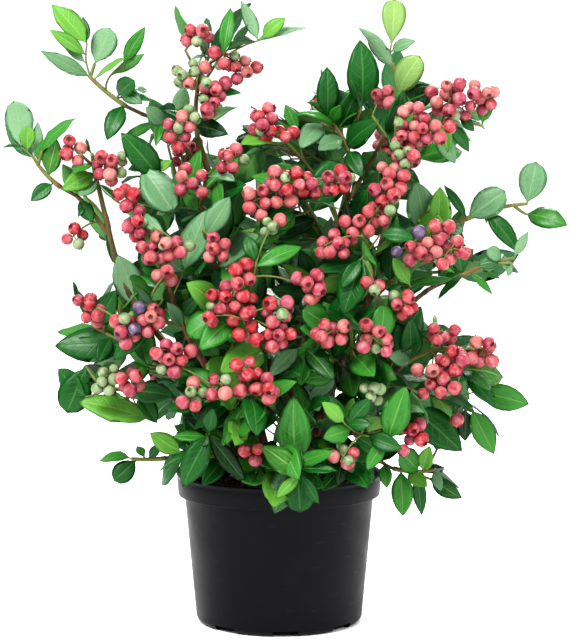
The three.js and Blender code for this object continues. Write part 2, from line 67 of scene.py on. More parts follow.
GAP = 0.3  # free space between two solids that meet
POT = {
    "height": 138.5,
    "lip_radius": 95.0,
    "lip_taper": 1.6,
    "lip_height": 20.0,
    "bead": 1.2,
    "rim_room": 18.0,
    "wall_top_radius": 87.5,
    "wall_foot_radius": 77.0,
    "corner_radius": 6.0,
    "wall": 1.7,
    "floor": 2.2,
    "sides": 168,
    "notches": 8,
    "notch_width": 23.0,
    "notch_height": 5.0,
    "notch_depth": 18.0,
    "notch_turn": 0.1,
}
LIP_FOOT = POT["height"] - POT["lip_height"]
CROWN = np.array([[-255.0, -190, 121], [263, 190, 571]])
COMPOST = {"top": 125.0, "edge_drop": 4.0, "flat_radius": 56.0}
LIMB = {"flare": 0.4, "flare_height": 10.0, "upright_foot": 16.0}
STEM = {"radii": (2.4, 1.5), "side_bend": 0.2, "tip_bend": 0.4, "centre": 0.6}
# A side shoot is shortened until it fits. Its first steps, by its foot, aren't tested.
SIDE_SHOOT = {"tries": 3, "shortening": 0.72, "lift": 0.14, "foot_steps": 4}
TWIG = {
    "radii": (1.7, 1.1),
    "from": 0.3,
    "to": 0.92,
    "lean": 50,
    "lean_spread": 14,
    "swing": 0.3,
    "length": (0.8, 0.4),  # the shortest and what chance adds, as shares of the mass's spread
    "shortening": (1.1, 0.45),  # the share of that length at the stem's foot, less at its tip
}
SPRIG = {
    "radii": (1.0, 0.7),
    "from": 0.3,
    "run": 0.65,
    "spacing": 26.0,
    "lean": 50.0,
    "lean_spread": 12,
    "length": (20.0, 16.0),
    "shortening": (1.15, 0.4),
    "seen_bend": (0.3, 0.25),  # how far one with a given end runs on, and bends over, before it
}
GOLDEN_ANGLE = math.radians(137.5)
X_AXIS, Z_AXIS = np.array([1.0, 0, 0]), np.array([0, 0, 1.0])

# Canes: the foot on the compost, the points the cane bends through, its radius at foot and tip.
CANES = {
    "cane_left": [(-22, -7), [(-81, -15, 230), (-138, -15, 308), (-165, -12, 404)], (5.0, 2.1)],
    "cane_upper_left": [(-9, 8), [(-28, 8, 222), (-42, 0, 340), (-74, -5, 446)], (5.6, 2.6)],
    "cane_centre": [(6, 16), [(18, 22, 250), (50, 20, 350), (66, 15, 409)], (5.2, 2.5)],
    "cane_right": [
        (24, -4),
        [(64, -22, 218), (83, -34, 310), (110, -30, 410), (130, -28, 442)],
        (5.6, 2.5),
    ],
    "cane_front_left": [(-17, -24), [(-48, -58, 213), (-83, -82, 278), (-99, -88, 322)], (4.6, 2.2)],
    "cane_low_right": [(27, -20), [(62, -50, 196), (112, -60, 246)], (4.4, 2.3)],
    "cane_front": [(3, -27), [(4, -72, 200), (-14, -100, 262)], (4.6, 2.2)],
    "cane_back_left": [(-16, 24), [(-50, 68, 230), (-84, 100, 320), (-98, 110, 368)], (4.8, 2.3)],
    "cane_back_right": [(24, 22), [(60, 58, 235), (94, 90, 325), (108, 100, 378)], (4.8, 2.3)],
    "cane_back": [(3, 34), [(5, 80, 218), (-4, 112, 300)], (4.4, 2.2)],
}

# Boughs: the cane and how far along it, the points the bough bends through, and its radii.
BOUGHS = {
    "bough_far_left": ["cane_left", 0.88, [(-178, -13, 388), (-199, -14, 402)], (2.1, 1.6)],
    "bough_upper_left": ["cane_upper_left", 0.88, [(-99, -3, 452), (-140, 1, 475)], (2.2, 1.6)],
    "bough_right_tip": ["cane_right", 0.62, [(125, -20, 350), (170, -9, 372)], (2.4, 1.7)],
    "bough_right_mid": ["cane_right", 0.47, [(128, -38, 305), (163, -34, 322)], (2.4, 1.7)],
    "bough_left_low": ["cane_left", 0.24, [(-92, -26, 207), (-124, -36, 216)], (2.5, 1.7)],
    "bough_left_bottom": ["cane_left", 0.12, [(-72, -22, 160), (-104, -22, 154)], (2.2, 1.5)],
    "bough_right_bottom": ["cane_low_right", 0.3, [(78, -36, 156), (104, -38, 147)], (2.2, 1.5)],
    "bough_tall_right": ["cane_centre", 0.86, [(92, 10, 438), (106, 7, 474)], (2.2, 1.6)],
}

# Masses of foliage: the limb and how far along it, the far end of the stem, how far the mass
# spreads, and how many twigs, leaves and berries its solid bears, with the length of a leaf there.
# The last number turns the leaves down where it is above 0 and up where it is below.
MASS_FIELDS = ("limb", "place", "tip", "spread", "twigs", "leaves", "leaf_length", "berries", "sag")
MASSES = {
    "far_left": ["bough_far_left", 1, (-222, -16, 428), 30, 2, 6, 46, 0, -0.3],
    "left_top": ["cane_left", 1, (-168, -28, 436), 30, 2, 4, 50, 6, -0.1],
    "upper_left_tip": ["bough_upper_left", 1, (-186, 4, 518), 34, 3, 9, 52, 0, -0.3],
    "crown_fruit": ["cane_upper_left", 1, (-62, -5, 522), 34, 4, 6, 54, 10, -0.4],
    "upper_left_inner": ["cane_upper_left", 0.78, (-124, -28, 420), 36, 2, 6, 66, 2, 0],
    "centre_top": ["cane_centre", 0.8, (-4, -14, 452), 36, 2, 5, 60, 4, -0.1],
    "mid_top": ["cane_centre", 1, (44, 10, 464), 38, 2, 6, 62, 0, -0.5],
    "tall_right": ["bough_tall_right", 1, (103, 8, 514), 26, 2, 6, 56, 0, -0.7],
    "right_top": ["cane_right", 1, (168, -22, 470), 36, 2, 4, 48, 8, -0.1],
    "right_upper": ["cane_right", 0.84, (98, -66, 440), 38, 3, 5, 62, 6, -0.1],
    "right_tip": ["bough_right_tip", 1, (226, -6, 386), 32, 2, 6, 54, 0, -0.2],
    "right_mid_tip": ["bough_right_mid", 1, (212, -31, 338), 26, 1, 5, 46, 0, 0.1],
    "right_mid": ["cane_right", 0.56, (138, -80, 345), 40, 2, 5, 64, 4, 0],
    "right_low": ["cane_low_right", 1, (168, -64, 258), 40, 3, 5, 64, 8, 0],
    "right_low_leaves": ["cane_low_right", 0.82, (166, -22, 206), 42, 3, 7, 66, 0, 0.2],
    "right_bottom": ["bough_right_bottom", 1, (140, -40, 146), 28, 2, 6, 48, 0, 0.3],
    "left_mid": ["cane_left", 0.42, (-176, -6, 276), 38, 2, 6, 68, 2, 0.1],
    "left_low": ["bough_left_low", 1, (-168, -48, 222), 38, 2, 6, 66, 4, 0.2],
    "left_bottom": ["bough_left_bottom", 1, (-150, -20, 156), 22, 1, 4, 46, 0, 0.3],
    "left_arc": ["cane_front_left", 1, (-128, -72, 380), 34, 2, 4, 56, 6, 0],
    "front_left": ["cane_front_left", 0.76, (-122, -112, 284), 40, 2, 5, 64, 6, 0.1],
    "centre_left": ["cane_upper_left", 0.5, (-66, -92, 366), 38, 2, 5, 62, 4, 0],
    "centre_upper": ["cane_centre", 0.68, (16, -76, 400), 42, 2, 5, 64, 6, 0],
    "centre_right": ["cane_right", 0.62, (72, -104, 362), 40, 2, 5, 64, 5, 0],
    "centre_mid": ["cane_front", 1, (-32, -132, 308), 42, 3, 5, 64, 6, 0],
    "front_right": ["cane_right", 0.36, (62, -126, 284), 40, 2, 6, 64, 4, 0.1],
    "front_low_left": ["cane_front", 0.6, (-56, -140, 232), 40, 2, 6, 64, 4, 0.2],
    "front_low_mid": ["cane_front", 0.34, (10, -138, 200), 40, 3, 7, 70, 0, 0.2],
    "front_low_right": ["cane_low_right", 0.5, (72, -118, 190), 42, 3, 7, 68, 0, 0.3],
    "bottom_left": ["cane_front_left", 0.2, (-70, -94, 168), 40, 3, 7, 68, 0, 0.6],
    "middle": ["cane_centre", 0.5, (36, -46, 318), 36, 2, 5, 62, 0, 0],
    "back_top_left": ["cane_back_left", 1, (-84, 104, 436), 42, 2, 6, 66, 4, -0.2],
    "back_top": ["cane_centre", 0.92, (12, 84, 446), 42, 2, 6, 66, 3, -0.2],
    "back_top_right": ["cane_back_right", 1, (100, 94, 442), 42, 2, 6, 66, 4, -0.2],
    "back_left": ["cane_back_left", 0.66, (-158, 78, 322), 44, 2, 6, 66, 4, 0],
    "back_mid": ["cane_back", 1, (-8, 166, 350), 44, 2, 6, 66, 5, 0],
    "back_right": ["cane_back_right", 0.66, (158, 76, 318), 44, 2, 6, 66, 4, 0],
    "back_low_left": ["cane_back_left", 0.32, (-112, 126, 222), 42, 2, 6, 68, 0, 0.3],
    "back_low": ["cane_back", 0.5, (6, 160, 224), 42, 2, 6, 68, 3, 0.3],
    "back_low_right": ["cane_back_right", 0.32, (120, 122, 222), 42, 2, 6, 68, 0, 0.3],
}

CAMERA = {"place": (5.0, -2000.0, 470.0), "pitch": math.radians(5.47), "lens": 122.66, "sensor": 36.0}
EYE = np.array(CAMERA["place"])
VIEW_AXIS = np.array([0, math.cos(CAMERA["pitch"]), -math.sin(CAMERA["pitch"])])
VIEW_UP = np.array([0, math.sin(CAMERA["pitch"]), math.cos(CAMERA["pitch"])])
# The photograph's frame in pixels. The sensor's size runs along its longer side.
PHOTO = {"width": 569, "height": 641}
FOCAL = CAMERA["lens"] / CAMERA["sensor"] * PHOTO["height"]

# What the tables below place by the photograph is given as the pixel where it shows, with its
# distance y from the plane through the pot's axis in millimetres.

# Sprigs added to a mass: which of its shoots carries one, how far along that, and the pixel and the
# y of its end.
SPRIGS = {
    "far_left": {"to_the_left": (0, 0.9, (21, 147), -14)},
    "upper_left_tip": {
        "upward": (0, 0.3, (123, 64), -4),
        "short": (0, 0.12, (134, 90), -14),
        "young": (0, 0.58, (87, 44), -2),
    },
    "crown_fruit": {"to_the_right": (2, 0.8, (261, 40), -8)},
    "tall_right": {"upward": (0, 1, (391, 46), 6)},
    "right_low_leaves": {"to_the_right": (0, 0.85, (477, 391), -24)},
    "left_low": {"low": (0, 0.1, (149, 420), -72)},
    "bottom_left": {"over_the_rim": (0, 0.8, (209, 434), -106)},
    "front_right": {"to_the_left": (1, 1, (299, 348), -112)},
    "front_low_mid": {"over_the_rim": (0, 0.4, (300, 474), -142)},
    "front_low_right": {"to_the_right": (0, 1, (388, 440), -122), "short": (0, 0.8, (345, 424), -130)},
}

# Leaves that show by themselves, for each mass or limb: the shoot, with -1, -2 and -3 for the sprigs
# above, how far along it, and the pixel and the y of the leaf's tip. Words say which way the leaf's
# upper side faces, its shape and its tint, unless these are front, oval and deep.
SEEN_LEAVES = {
    "cane_back": {
        "inner_left": (0, 0.93, (262, 262), 96),
        "inner_right": (0, 1, (300, 262), 100),
        "inner_low": (0, 0.85, (258, 296), 92, "round", "mid"),
        "inner_high": (0, 0.97, (281, 253), 108, "mid"),
    },
    "cane_centre": {
        "inner": (0, 0.6, (296, 249), 44),
        "inner_mid": (0, 0.62, (318, 247), 36, "mid"),
        "inner_right": (0, 0.7, (364, 246), 38),
    },
    "cane_front_left": {
        "inner": (0, 0.8, (199, 295), -84),
        "inner_low": (0, 0.72, (210, 310), -74),
    },
    "cane_left": {"pale": (0, 0.7, (118, 255), -24, "back", "blue")},
    "cane_upper_left": {
        "upright": (0, 0.8, (241, 184), -26, "mid"),
        "inner": (0, 0.76, (196, 226), -10),
        "inner_high": (0, 0.88, (226, 178), -8),
    },
    "far_left": {
        "end_leaf": (-1, 1, (14, 101), -10, "back", "round", "blue"),
        "before_end": (-1, 0.6, (28, 126), -22, "round", "fresh"),
        "teal": (-1, 0.98, (3, 147), -18, "up", "lance"),
        "behind": (0, 1, (38, 122), -6, "back", "lance", "blue"),
        "upright": (0, 0.8, (47, 138), -24, "mid"),
        "broad": (0, 0.35, (57, 139), -26, "fresh"),
        "pointed": (2, 0.5, (76, 118), -30, "left", "lance", "mid"),
        "hanging": (0, 0.15, (31, 201), -22),
    },
    "bough_far_left": {
        "under": (0, 0.6, (93, 222), -20),
        "under_outer": (0, 0.45, (78, 217), -20, "lance"),
    },
    "bough_right_bottom": {
        "dark": (0, 0.5, (401, 450), -58, "up", "round"),
        "low": (0, 0.8, (387, 488), -50, "mid"),
    },
    "left_top": {
        "dark_point": (2, 0.05, (86, 138), -14, "left", "lance"),
        "level": (0, 0.5, (73, 173), -40, "up", "mid"),
        "inner": (0, 0.25, (62, 190), -34, "fresh"),
        "inner_pale": (0, 0.1, (79, 196), -36, "blue"),
        "small_low": (0, 0.02, (120, 204), -22, "up", "lance", "mid"),
    },
    "upper_left_tip": {
        "end_leaf": (-3, 1, (52, 5), 0, "fresh"),
        "end_leaf_right": (-3, 0.98, (83, 17), 8, "lance", "mid"),
        "below_end": (-3, 0.7, (50, 30), -14, "lance", "fresh"),
        "grey_narrow": (-3, 0.45, (64, 46), 2, "lance", "blue"),
        "grey_long": (0, 0.62, (41, 51), -26, "narrow", "blue"),
        "upright_round": (2, 0.45, (110, 28), 12, "back", "round", "blue"),
        "bright": (0, 0.55, (126, 58), -16, "up", "fresh"),
        "sprig_tip": (-1, 1, (145, 27), -8, "lance", "mid"),
        "sprig_side": (-1, 0.6, (144, 54), -16, "back", "narrow", "mid"),
        "small_low": (-2, 0.2, (153, 101), -20, "up", "lance"),
        "tuft_pale": (-2, 1, (147, 90), -4, "blue"),
        "tuft_dark": (-2, 0.35, (134, 80), -26, "round"),
        "tuft_low": (-2, 0.6, (142, 104), -24, "blue"),
        "hanging": (0, 0.02, (107, 140), -16),
    },
    "bough_upper_left": {
        "above": (0, 0.55, (146, 107), -18, "blue"),
        "below": (0, 0.6, (156, 146), -20, "lance", "mid"),
        "curled": (0, 0.64, (121, 140), 6, "narrow", "mid"),
    },
    "crown_fruit": {
        "upright": (4, 0.9, (231, 8), -8, "lance", "mid"),
        "sprig_tip": (-1, 0.95, (241, 1), -4, "back", "lance", "blue"),
        "sprig_bright": (-1, 1, (285, 18), -12, "fresh"),
        "sprig_long": (-1, 0.9, (306, 28), -6, "up", "lance", "blue"),
        "among_fruit": (0, 0.95, (192, 59), -16, "up", "lance", "blue"),
        "right_low": (0, 0.45, (241, 93), -20, "lance"),
        "foot_right": (0, 0.12, (228, 134), -28),
        "foot_left": (0, 0.1, (164, 110), -14, "up", "lance"),
        "foot": (0, 0.15, (206, 120), 6),
    },
    "upper_left_inner": {
        "outer": (0, 0.85, (121, 133), -34),
        "pale": (0, 0.9, (172, 160), -18, "fresh"),
        "broad": (0, 1, (173, 212), -46, "round", "blue"),
        "low": (0, 0.6, (197, 211), -40, "mid"),
    },
    "left_arc": {
        "inner": (0, 1, (164, 233), -92, "lance", "blue"),
        "low": (0, 0.05, (142, 269), -94),
    },
    "centre_left": {"high": (0, 0.97, (230, 197), -88, "blue")},
    "centre_upper": {"right": (0, 0.25, (331, 216), -26, "lance", "blue")},
    "centre_right": {"low": (2, 1, (341, 288), -114)},
    "centre_mid": {
        "high": (3, 1, (246, 236), -122),
        "level": (3, 0.9, (302, 247), -118, "lance", "mid"),
        "pale": (3, 0.72, (233, 269), -136, "round", "blue"),
        "bright": (0, 0.02, (220, 373), -148, "fresh"),
    },
    "middle": {
        "dark": (0, 0.75, (271, 289), -34),
        "yellow": (0, 0.9, (281, 264), -40, "lance", "fresh"),
        "inner": (2, 0.8, (300, 250), -30),
    },
    "front_left": {"upright": (0, 0.02, (167, 302), -104, "lance", "blue")},
    "front_right": {
        "blue": (-1, 1, (270, 376), -126, "blue"),
        "hanging": (-1, 0.8, (334, 380), -132, "mid"),
        "dark": (1, 0.8, (338, 383), -92, "lance"),
    },
    "right_mid": {
        "bright": (1, 1, (393, 257), -84, "fresh"),
        "low": (1, 0.9, (453, 279), -70, "up", "lance", "mid"),
    },
    "centre_top": {"below_fruit": (0, 0.9, (240, 145), -42, "up", "fresh")},
    "mid_top": {
        "upright": (0, 1, (327, 67), 6),
        "upright_right": (1, 1, (360, 40), -4),
        "thin": (0, 0.8, (297, 113), -8, "up", "narrow", "mid"),
        "dark_left": (2, 0.7, (300, 149), -6, "blue"),
        "broad_right": (0, 0.45, (381, 119), -20),
        "low": (0, 0.4, (363, 178), -10),
        "bright": (0, 0.75, (357, 113), -6, "up", "lance", "fresh"),
        "middle": (0, 0.6, (318, 150), -16, "blue"),
        "high": (0, 0.9, (340, 105), -8, "mid"),
    },
    "tall_right": {
        "end_leaf": (-1, 1, (394, -1), 6, "paddle", "lime"),
        "right": (-1, 0.6, (415, 41), -2, "blue"),
        "left_high": (-1, 0.7, (359, 28), 0, "back", "narrow", "blue"),
        "left": (0, 0.84, (367, 38), -6, "back", "lance", "blue"),
        "round": (0, 0.25, (420, 56), -10, "round", "lime"),
        "right_low": (0, 0.02, (438, 89), -12),
    },
    "right_top": {
        "outer": (2, 0.9, (486, 96), -14, "mid"),
        "below": (2, 0.1, (474, 131), -26),
        "level": (2, 0.3, (485, 129), -20, "up", "lance", "mid"),
        "bright": (0, 0.5, (448, 152), -28, "fresh"),
        "pointed": (0, 0.55, (469, 152), -20, "lance"),
        "low": (0, 0.3, (455, 163), -24, "blue"),
    },
    "right_tip": {
        "round": (0, 0.02, (505, 191), -14, "round", "blue"),
        "inner": (0, 0.02, (444, 185), -8, "narrow"),
        "end_leaf": (0, 1, (536, 162), -6, "round", "blue"),
        "end_low": (2, 0.95, (567, 225), -12, "mid"),
        "below": (0, 0.3, (519, 253), -16, "lance"),
        "below_bright": (0, 0.35, (486, 223), -12, "lance", "fresh"),
    },
    "bough_right_tip": {
        "foot": (0, 0.62, (416, 181), -30, "blue"),
        "upright": (0, 0.72, (440, 187), -30, "fresh"),
        "level": (0, 0.55, (437, 214), -44, "round", "fresh"),
        "hanging": (0, 0.75, (473, 262), -30, "lance"),
        "round": (0, 0.8, (463, 232), -26, "round", "blue"),
    },
    "right_mid_tip": {
        "high": (0, 0.75, (487, 249), -40, "round", "blue"),
        "end_leaf": (0, 1, (528, 232), -30, "back", "lance", "blue"),
        "low": (0, 0.15, (492, 294), -38, "up", "lance", "mid"),
        "low_inner": (0, 0.1, (438, 299), -44, "up", "narrow"),
        "end_low": (1, 0.9, (508, 276), -46, "blue"),
        "middle": (0, 0.7, (479, 265), -44, "round", "blue"),
        "right": (0, 0.75, (511, 270), -44, "up", "round", "blue"),
        "inner": (0, 0.05, (452, 234), -40),
    },
    "right_low": {
        "inner": (0, 0.1, (410, 318), -84),
        "inner_low": (0, 0.1, (389, 357), -86, "blue"),
    },
    "right_low_leaves": {
        "sprig_end": (-1, 1, (529, 404), -26, "mid"),
        "low_outer": (3, 1, (494, 454), -46, "mid"),
        "low_middle": (3, 0.8, (465, 441), -34),
        "low_inner": (1, 0.5, (462, 451), -52),
        "level": (0, 0.5, (474, 412), -38, "up"),
        "high": (2, 0.8, (452, 392), -30, "mid"),
    },
    "right_bottom": {
        "lowest": (0, 0.15, (403, 516), -50, "mid"),
        "lowest_right": (0, 0.55, (422, 515), -36, "lance"),
        "outer": (1, 0.7, (462, 498), -44, "mid"),
        "end_leaf": (0, 1, (441, 491), -52, "blue"),
        "high": (0, 0.7, (430, 446), -52, "fresh"),
        "inner": (0, 0.6, (399, 452), -58, "round", "mid"),
        "bright": (0, 0.3, (427, 487), -60, "fresh"),
    },
    "left_mid": {
        "high": (0, 0.95, (116, 290), -22),
        "outer": (0, 0.75, (55, 346), -12),
        "outer_high": (0, 0.9, (58, 332), 2, "up", "mid"),
        "low": (0, 0.85, (98, 362), -26),
        "low_inner": (0, 0.6, (132, 385), -28, "mid"),
    },
    "left_low": {
        "outer": (2, 1, (67, 413), -38, "round"),
        "sprig_end": (-1, 1, (79, 402), -78, "up", "fresh"),
        "sprig_low": (-1, 0.7, (112, 416), -60, "up"),
        "middle": (0, 0.5, (118, 414), -54, "mid"),
        "inner": (0, 0.15, (174, 396), -62),
        "hanging": (0, 0.08, (157, 423), -44),
    },
    "left_bottom": {
        "round": (0, 0.5, (114, 481), -28, "round"),
        "outer": (0, 0.6, (99, 461), -16, "up", "mid"),
        "inner": (0, 0.3, (160, 444), -26),
        "above": (0, 0.35, (137, 446), -10, "up", "mid"),
    },
    "bottom_left": {
        "over_rim": (-1, 1, (183, 487), -112),
        "over_rim_right": (-1, 0.95, (245, 481), -112, "lance"),
        "left": (-1, 0.9, (173, 436), -102, "up", "mid"),
        "far_left": (3, 1, (150, 433), -78, "fresh"),
        "on_rim": (0, 0.7, (202, 486), -92),
        "high": (-1, 1, (213, 408), -118),
    },
    "front_low_mid": {
        "upright": (-1, 0.75, (293, 396), -144, "mid"),
        "left": (-1, 1, (261, 446), -154, "fresh"),
        "over_rim": (-1, 1, (276, 498), -154, "lance", "fresh"),
        "lowest": (-1, 1, (319, 504), -150, "lance"),
        "right_high": (-1, 0.8, (334, 452), -148, "lance", "mid"),
        "right": (-1, 0.9, (338, 471), -146, "up", "lance"),
    },
    "front_low_right": {
        "upright": (-1, 1, (406, 386), -130, "mid"),
        "right": (-1, 0.3, (402, 449), -136),
        "low": (-1, 0.9, (367, 470), -128, "mid"),
        "left_high": (-2, 1, (322, 402), -136, "fresh"),
        "high": (-2, 0.9, (371, 398), -134),
        "middle": (-2, 0.9, (372, 424), -138),
        "left": (-2, 0.6, (323, 438), -142, "mid"),
        "behind": (0, 0.75, (381, 452), -84),
    },
}

# How many more leaves the rule grows on these masses, which would be too thick with the usual share.
FILL_LEAVES = {
    "far_left": 1,
    "left_top": 6,
    "upper_left_tip": 0,
    "crown_fruit": 7,
    "upper_left_inner": 12,
    "mid_top": 10,
    "tall_right": 0,
    "right_top": 8,
    "right_tip": 0,
    "right_mid_tip": 2,
    "left_bottom": 0,
    "right_bottom": 8,
    "left_mid": 16,
    "left_low": 14,
    "right_low_leaves": 14,
    "bottom_left": 16,
    "front_low_mid": 16,
    "front_low_right": 18,
}

# Fruit clusters: the pixel and the y of the middle, half the size across and up in pixels, half the
# depth in millimetres, how many berries, and how ripe they are.
FRUIT = {
    "crown_top": [(200, 38), -14, (17, 10), 10, 6, "ripe"],
    "crown_green": [(192, 76), -22, (11, 19), 10, 12, "green"],
    "crown_right": [(237, 64), -16, (17, 13), 12, 11, "ripe"],
    "crown_low": [(214, 98), -24, (24, 14), 14, 13, "ripe"],
    "crown_foot": [(189, 117), -30, (11, 9), 9, 5, "turning"],
    "left_top_tip": [(75, 150), -26, (10, 11), 8, 5, "ripe"],
    "left_top_side": [(108, 165), -32, (17, 13), 10, 10, "ripe"],
    "left_hang": [(75, 236), -34, (9, 8), 6, 4, "scarlet"],
    "crown_drop": [(177, 132), -26, (7, 16), 8, 6, "scarlet"],
    "upper_left": [(190, 182), -52, (19, 16), 12, 8, "ripe"],
    "upper_mid": [(232, 160), -48, (17, 12), 10, 6, "ripe"],
    "centre_top": [(270, 128), -34, (30, 11), 12, 13, "scarlet"],
    "arc_high": [(128, 200), -78, (9, 15), 10, 6, "scarlet"],
    "arc_mid": [(137, 224), -84, (8, 15), 10, 7, "scarlet"],
    "arc_low": [(151, 248), -92, (13, 12), 10, 9, "ripe"],
    "centre_left": [(196, 248), -112, (30, 13), 12, 13, "turning"],
    "small_left": [(166, 276), -112, (9, 7), 6, 3, "ripe"],
    "upper_a": [(268, 195), -96, (19, 21), 14, 14, "ripe"],
    "upper_b": [(320, 184), -92, (28, 18), 14, 17, "scarlet"],
    "upper_green": [(273, 227), -104, (13, 6), 7, 5, "green"],
    "centre_right": [(331, 244), -110, (19, 13), 12, 9, "ripe"],
    "top_small": [(382, 96), -30, (10, 7), 7, 4, "ripe"],
    "right_top": [(461, 100), -34, (33, 13), 14, 23, "ripe"],
    "right_upper": [(413, 129), -66, (29, 20), 14, 22, "ripe"],
    "right_under": [(400, 163), -78, (20, 13), 11, 12, "turning"],
    "right_red": [(388, 196), -86, (14, 14), 11, 9, "scarlet"],
    "right_inner": [(368, 222), -98, (23, 17), 13, 12, "ripe"],
    "right_mid": [(431, 246), -96, (31, 17), 14, 20, "blue"],
    "mid_left": [(233, 297), -142, (25, 22), 13, 18, "scarlet"],
    "mid_low": [(278, 322), -148, (17, 22), 13, 13, "scarlet"],
    "mid_chain": [(249, 336), -146, (14, 5), 6, 4, "scarlet"],
    "mid_high": [(308, 291), -134, (14, 18), 11, 8, "ripe"],
    "front_left": [(140, 323), -124, (24, 16), 13, 16, "blue"],
    "left_side": [(90, 310), -66, (19, 15), 9, 7, "scarlet"],
    "front_left_low": [(171, 359), -134, (28, 10), 11, 11, "ripe"],
    "left_low_green": [(106, 378), -98, (12, 14), 10, 7, "green"],
    "left_low_ripe": [(131, 381), -104, (11, 13), 10, 6, "ripe"],
    "low_left": [(206, 391), -156, (22, 16), 12, 11, "turning"],
    "low_centre": [(257, 382), -158, (18, 22), 13, 12, "scarlet"],
    "front_right_a": [(331, 333), -144, (20, 10), 10, 7, "ripe"],
    "front_right_b": [(374, 340), -142, (19, 19), 12, 10, "ripe"],
    "right_pair": [(374, 284), -120, (10, 7), 7, 3, "ripe"],
    "right_row": [(398, 305), -112, (19, 10), 9, 8, "scarlet"],
    "low_right_top": [(442, 334), -84, (21, 8), 9, 6, "ripe"],
    "low_right_tip": [(481, 349), -80, (13, 18), 11, 9, "ripe"],
    "low_right_mid": [(447, 358), -92, (23, 10), 11, 8, "scarlet"],
    "low_right_low": [(433, 381), -92, (33, 10), 11, 11, "turning"],
    "low_right_red": [(413, 437), -112, (11, 15), 9, 7, "scarlet"],
    "low_right_one": [(455, 418), -70, (4, 3), 3, 1, "scarlet"],
    "rim_left": [(252, 455), -126, (9, 10), 7, 3, "scarlet"],
    "rim_right": [(344, 457), -130, (15, 11), 8, 5, "turning"],
    "low_green": [(375, 391), -128, (11, 10), 8, 6, "green"],
    "lone_red": [(213, 318), -148, (5, 5), 4, 2, "scarlet"],
    "lone_pink": [(256, 268), -130, (3, 3), 3, 1, "scarlet"],
}

# The share of each colour of berry in a cluster.
MIXES = {
    "ripe": {"coral": 0.56, "rose": 0.22, "blush": 0.12, "green": 0.1},
    "scarlet": {"scarlet": 0.46, "coral": 0.22, "rose": 0.26, "green": 0.06},
    "turning": {"coral": 0.36, "blush": 0.24, "green": 0.32, "rose": 0.08},
    "green": {"green": 0.82, "blush": 0.18},
    "blue": {"coral": 0.56, "rose": 0.16, "blush": 0.1, "green": 0.11, "plum": 0.07},
}
BERRY = {
    "radius": 6.0,
    "green_size": 0.84,
    "size_spread": 0.12,
    "per_raceme": 7,
    "droop": 0.55,  # how far a berry hangs down from its stalk
    "jitter": 0.7,
}
# A berry's own stalk. One whose middle is within sits_by radii of the raceme's stalk has none.
PEDICEL = {
    "radii": (0.5, 0.5),
    "sides": 5,
    "ring": 3.0,
    "least_place": 0.35,
    "choices": 12,
    "sits_by": 1.1,
    "end": 0.84,
    "bend": 0.6,
}
RACEME = {
    "radii": (1.0, 0.7),
    "sides": 6,
    "ring": 5.0,
    "least_place": 0.15,
    "choices": 18,
    "reach": 5.0,
    "rise": 0.22,
}
SHOOT_MESH = {"sides": 7, "ring": 4.0}
# How a cluster's racemes lie round its middle, and how its berries lie round each raceme's: away,
# deep and reach are shares of the half sizes, and a raceme is smaller by the share less.
CLUSTER = {
    "away": 0.62,
    "deep": 0.3,
    "less": 0.45,
    "least": 4.0,
    "reach": (0.55, 0.45),
    "drawn_in": 0.8,
}
# Berries are drawn to their places at first, and pushed apart and off the shoots all the time.
SETTLE = {
    "steps": 90,
    "drawn_steps": 60,
    "draw": 0.05,
    "touch": 0.985,
    "push": 0.9,
    "off_tubes_every": 6,
    "inset": 1.02,
}
# A mass at the back bears so many more berries than its solid, in clusters at its shoots' tips.
BACK_FRUIT = {"more": 2, "per_solid": 3.4, "most": 9, "half": (13, 13, 12), "out": 6, "down": 4}
BACK_MIXES = {"ripe": 0.5, "scarlet": 0.3, "turning": 0.2}

LEAF = {
    "length": 54.0,
    "length_spread": 0.2,
    "solid_length": 64,
    "power": 0.6,  # how far a leaf's length follows the one of the solid's
    "per_solid": 4.6,  # how many leaves stand for one of the solid's
    "thick": 0.5,
    "midrib": 1.7,  # how much thicker the midrib is
    "petiole": 3.5,
    "spacing": 11.0,
    "crowding": 0.8,
    "end_place": 0.99,
    "first_place": 0.95,
    "leafy": 0.72,  # the share of a shoot that bears leaves
    "end_lean": 10.0,
    "side_lean": 54.0,
    "sunk": 0.4,
    "tries": 9,
}
# How a leaf that the rule grows is turned. Each new try swings it on round its shoot, changes its
# lean and makes it a little shorter.
MANNER = {
    "deep": 1.4,  # turns upper sides to the front and back more than to the left and right
    "front": 0.15,  # turns them a little more to the front
    "spin": 2.4,
    "up": (0.35, 0.75),  # how much they look up, as the least and what chance adds
    "tilt": 24,
    "less_lean": 9,
    "swing": 1.2,
    "swing_on": 0.9,
    "sag": 0.6,
    "longest": 1.04,
    "shorter": 0.05,
}
# How a blade bends, as the least and what chance adds, and the constants of its surface.
BLADE = {
    "width": (0.93, 0.14),
    "arch": (0.15, 0.55),
    "fold": (0.12, 0.3),
    "curl": (0.05, 0.2),
    "wave": (0.006, 0.014),
    "twist": 0.25,
    "facing_jitter": 0.4,
    "arch_angle": 1.6,
    "unfold": 0.5,
    "waves": 15,
    "wave_slant": 1.3,
    "groove": 0.25,
    "twist_from": 0.4,
    "least_half_width": (0.7, 0.25),
}
# How far a leaf keeps from other leaves, berries and shoots, how far it may stand out of its cell,
# how near it may show to a leaf or berry that it would hide, and how near a leaf is tested.
ROOM = {
    "leaves": 3.2,
    "fruit": 1.2,
    "shoots": 1.5,
    "thick": 0.4,
    "ease": 11.0,
    "shown": 6.0,
    "berries": 0.9,
    "near": 38,
}
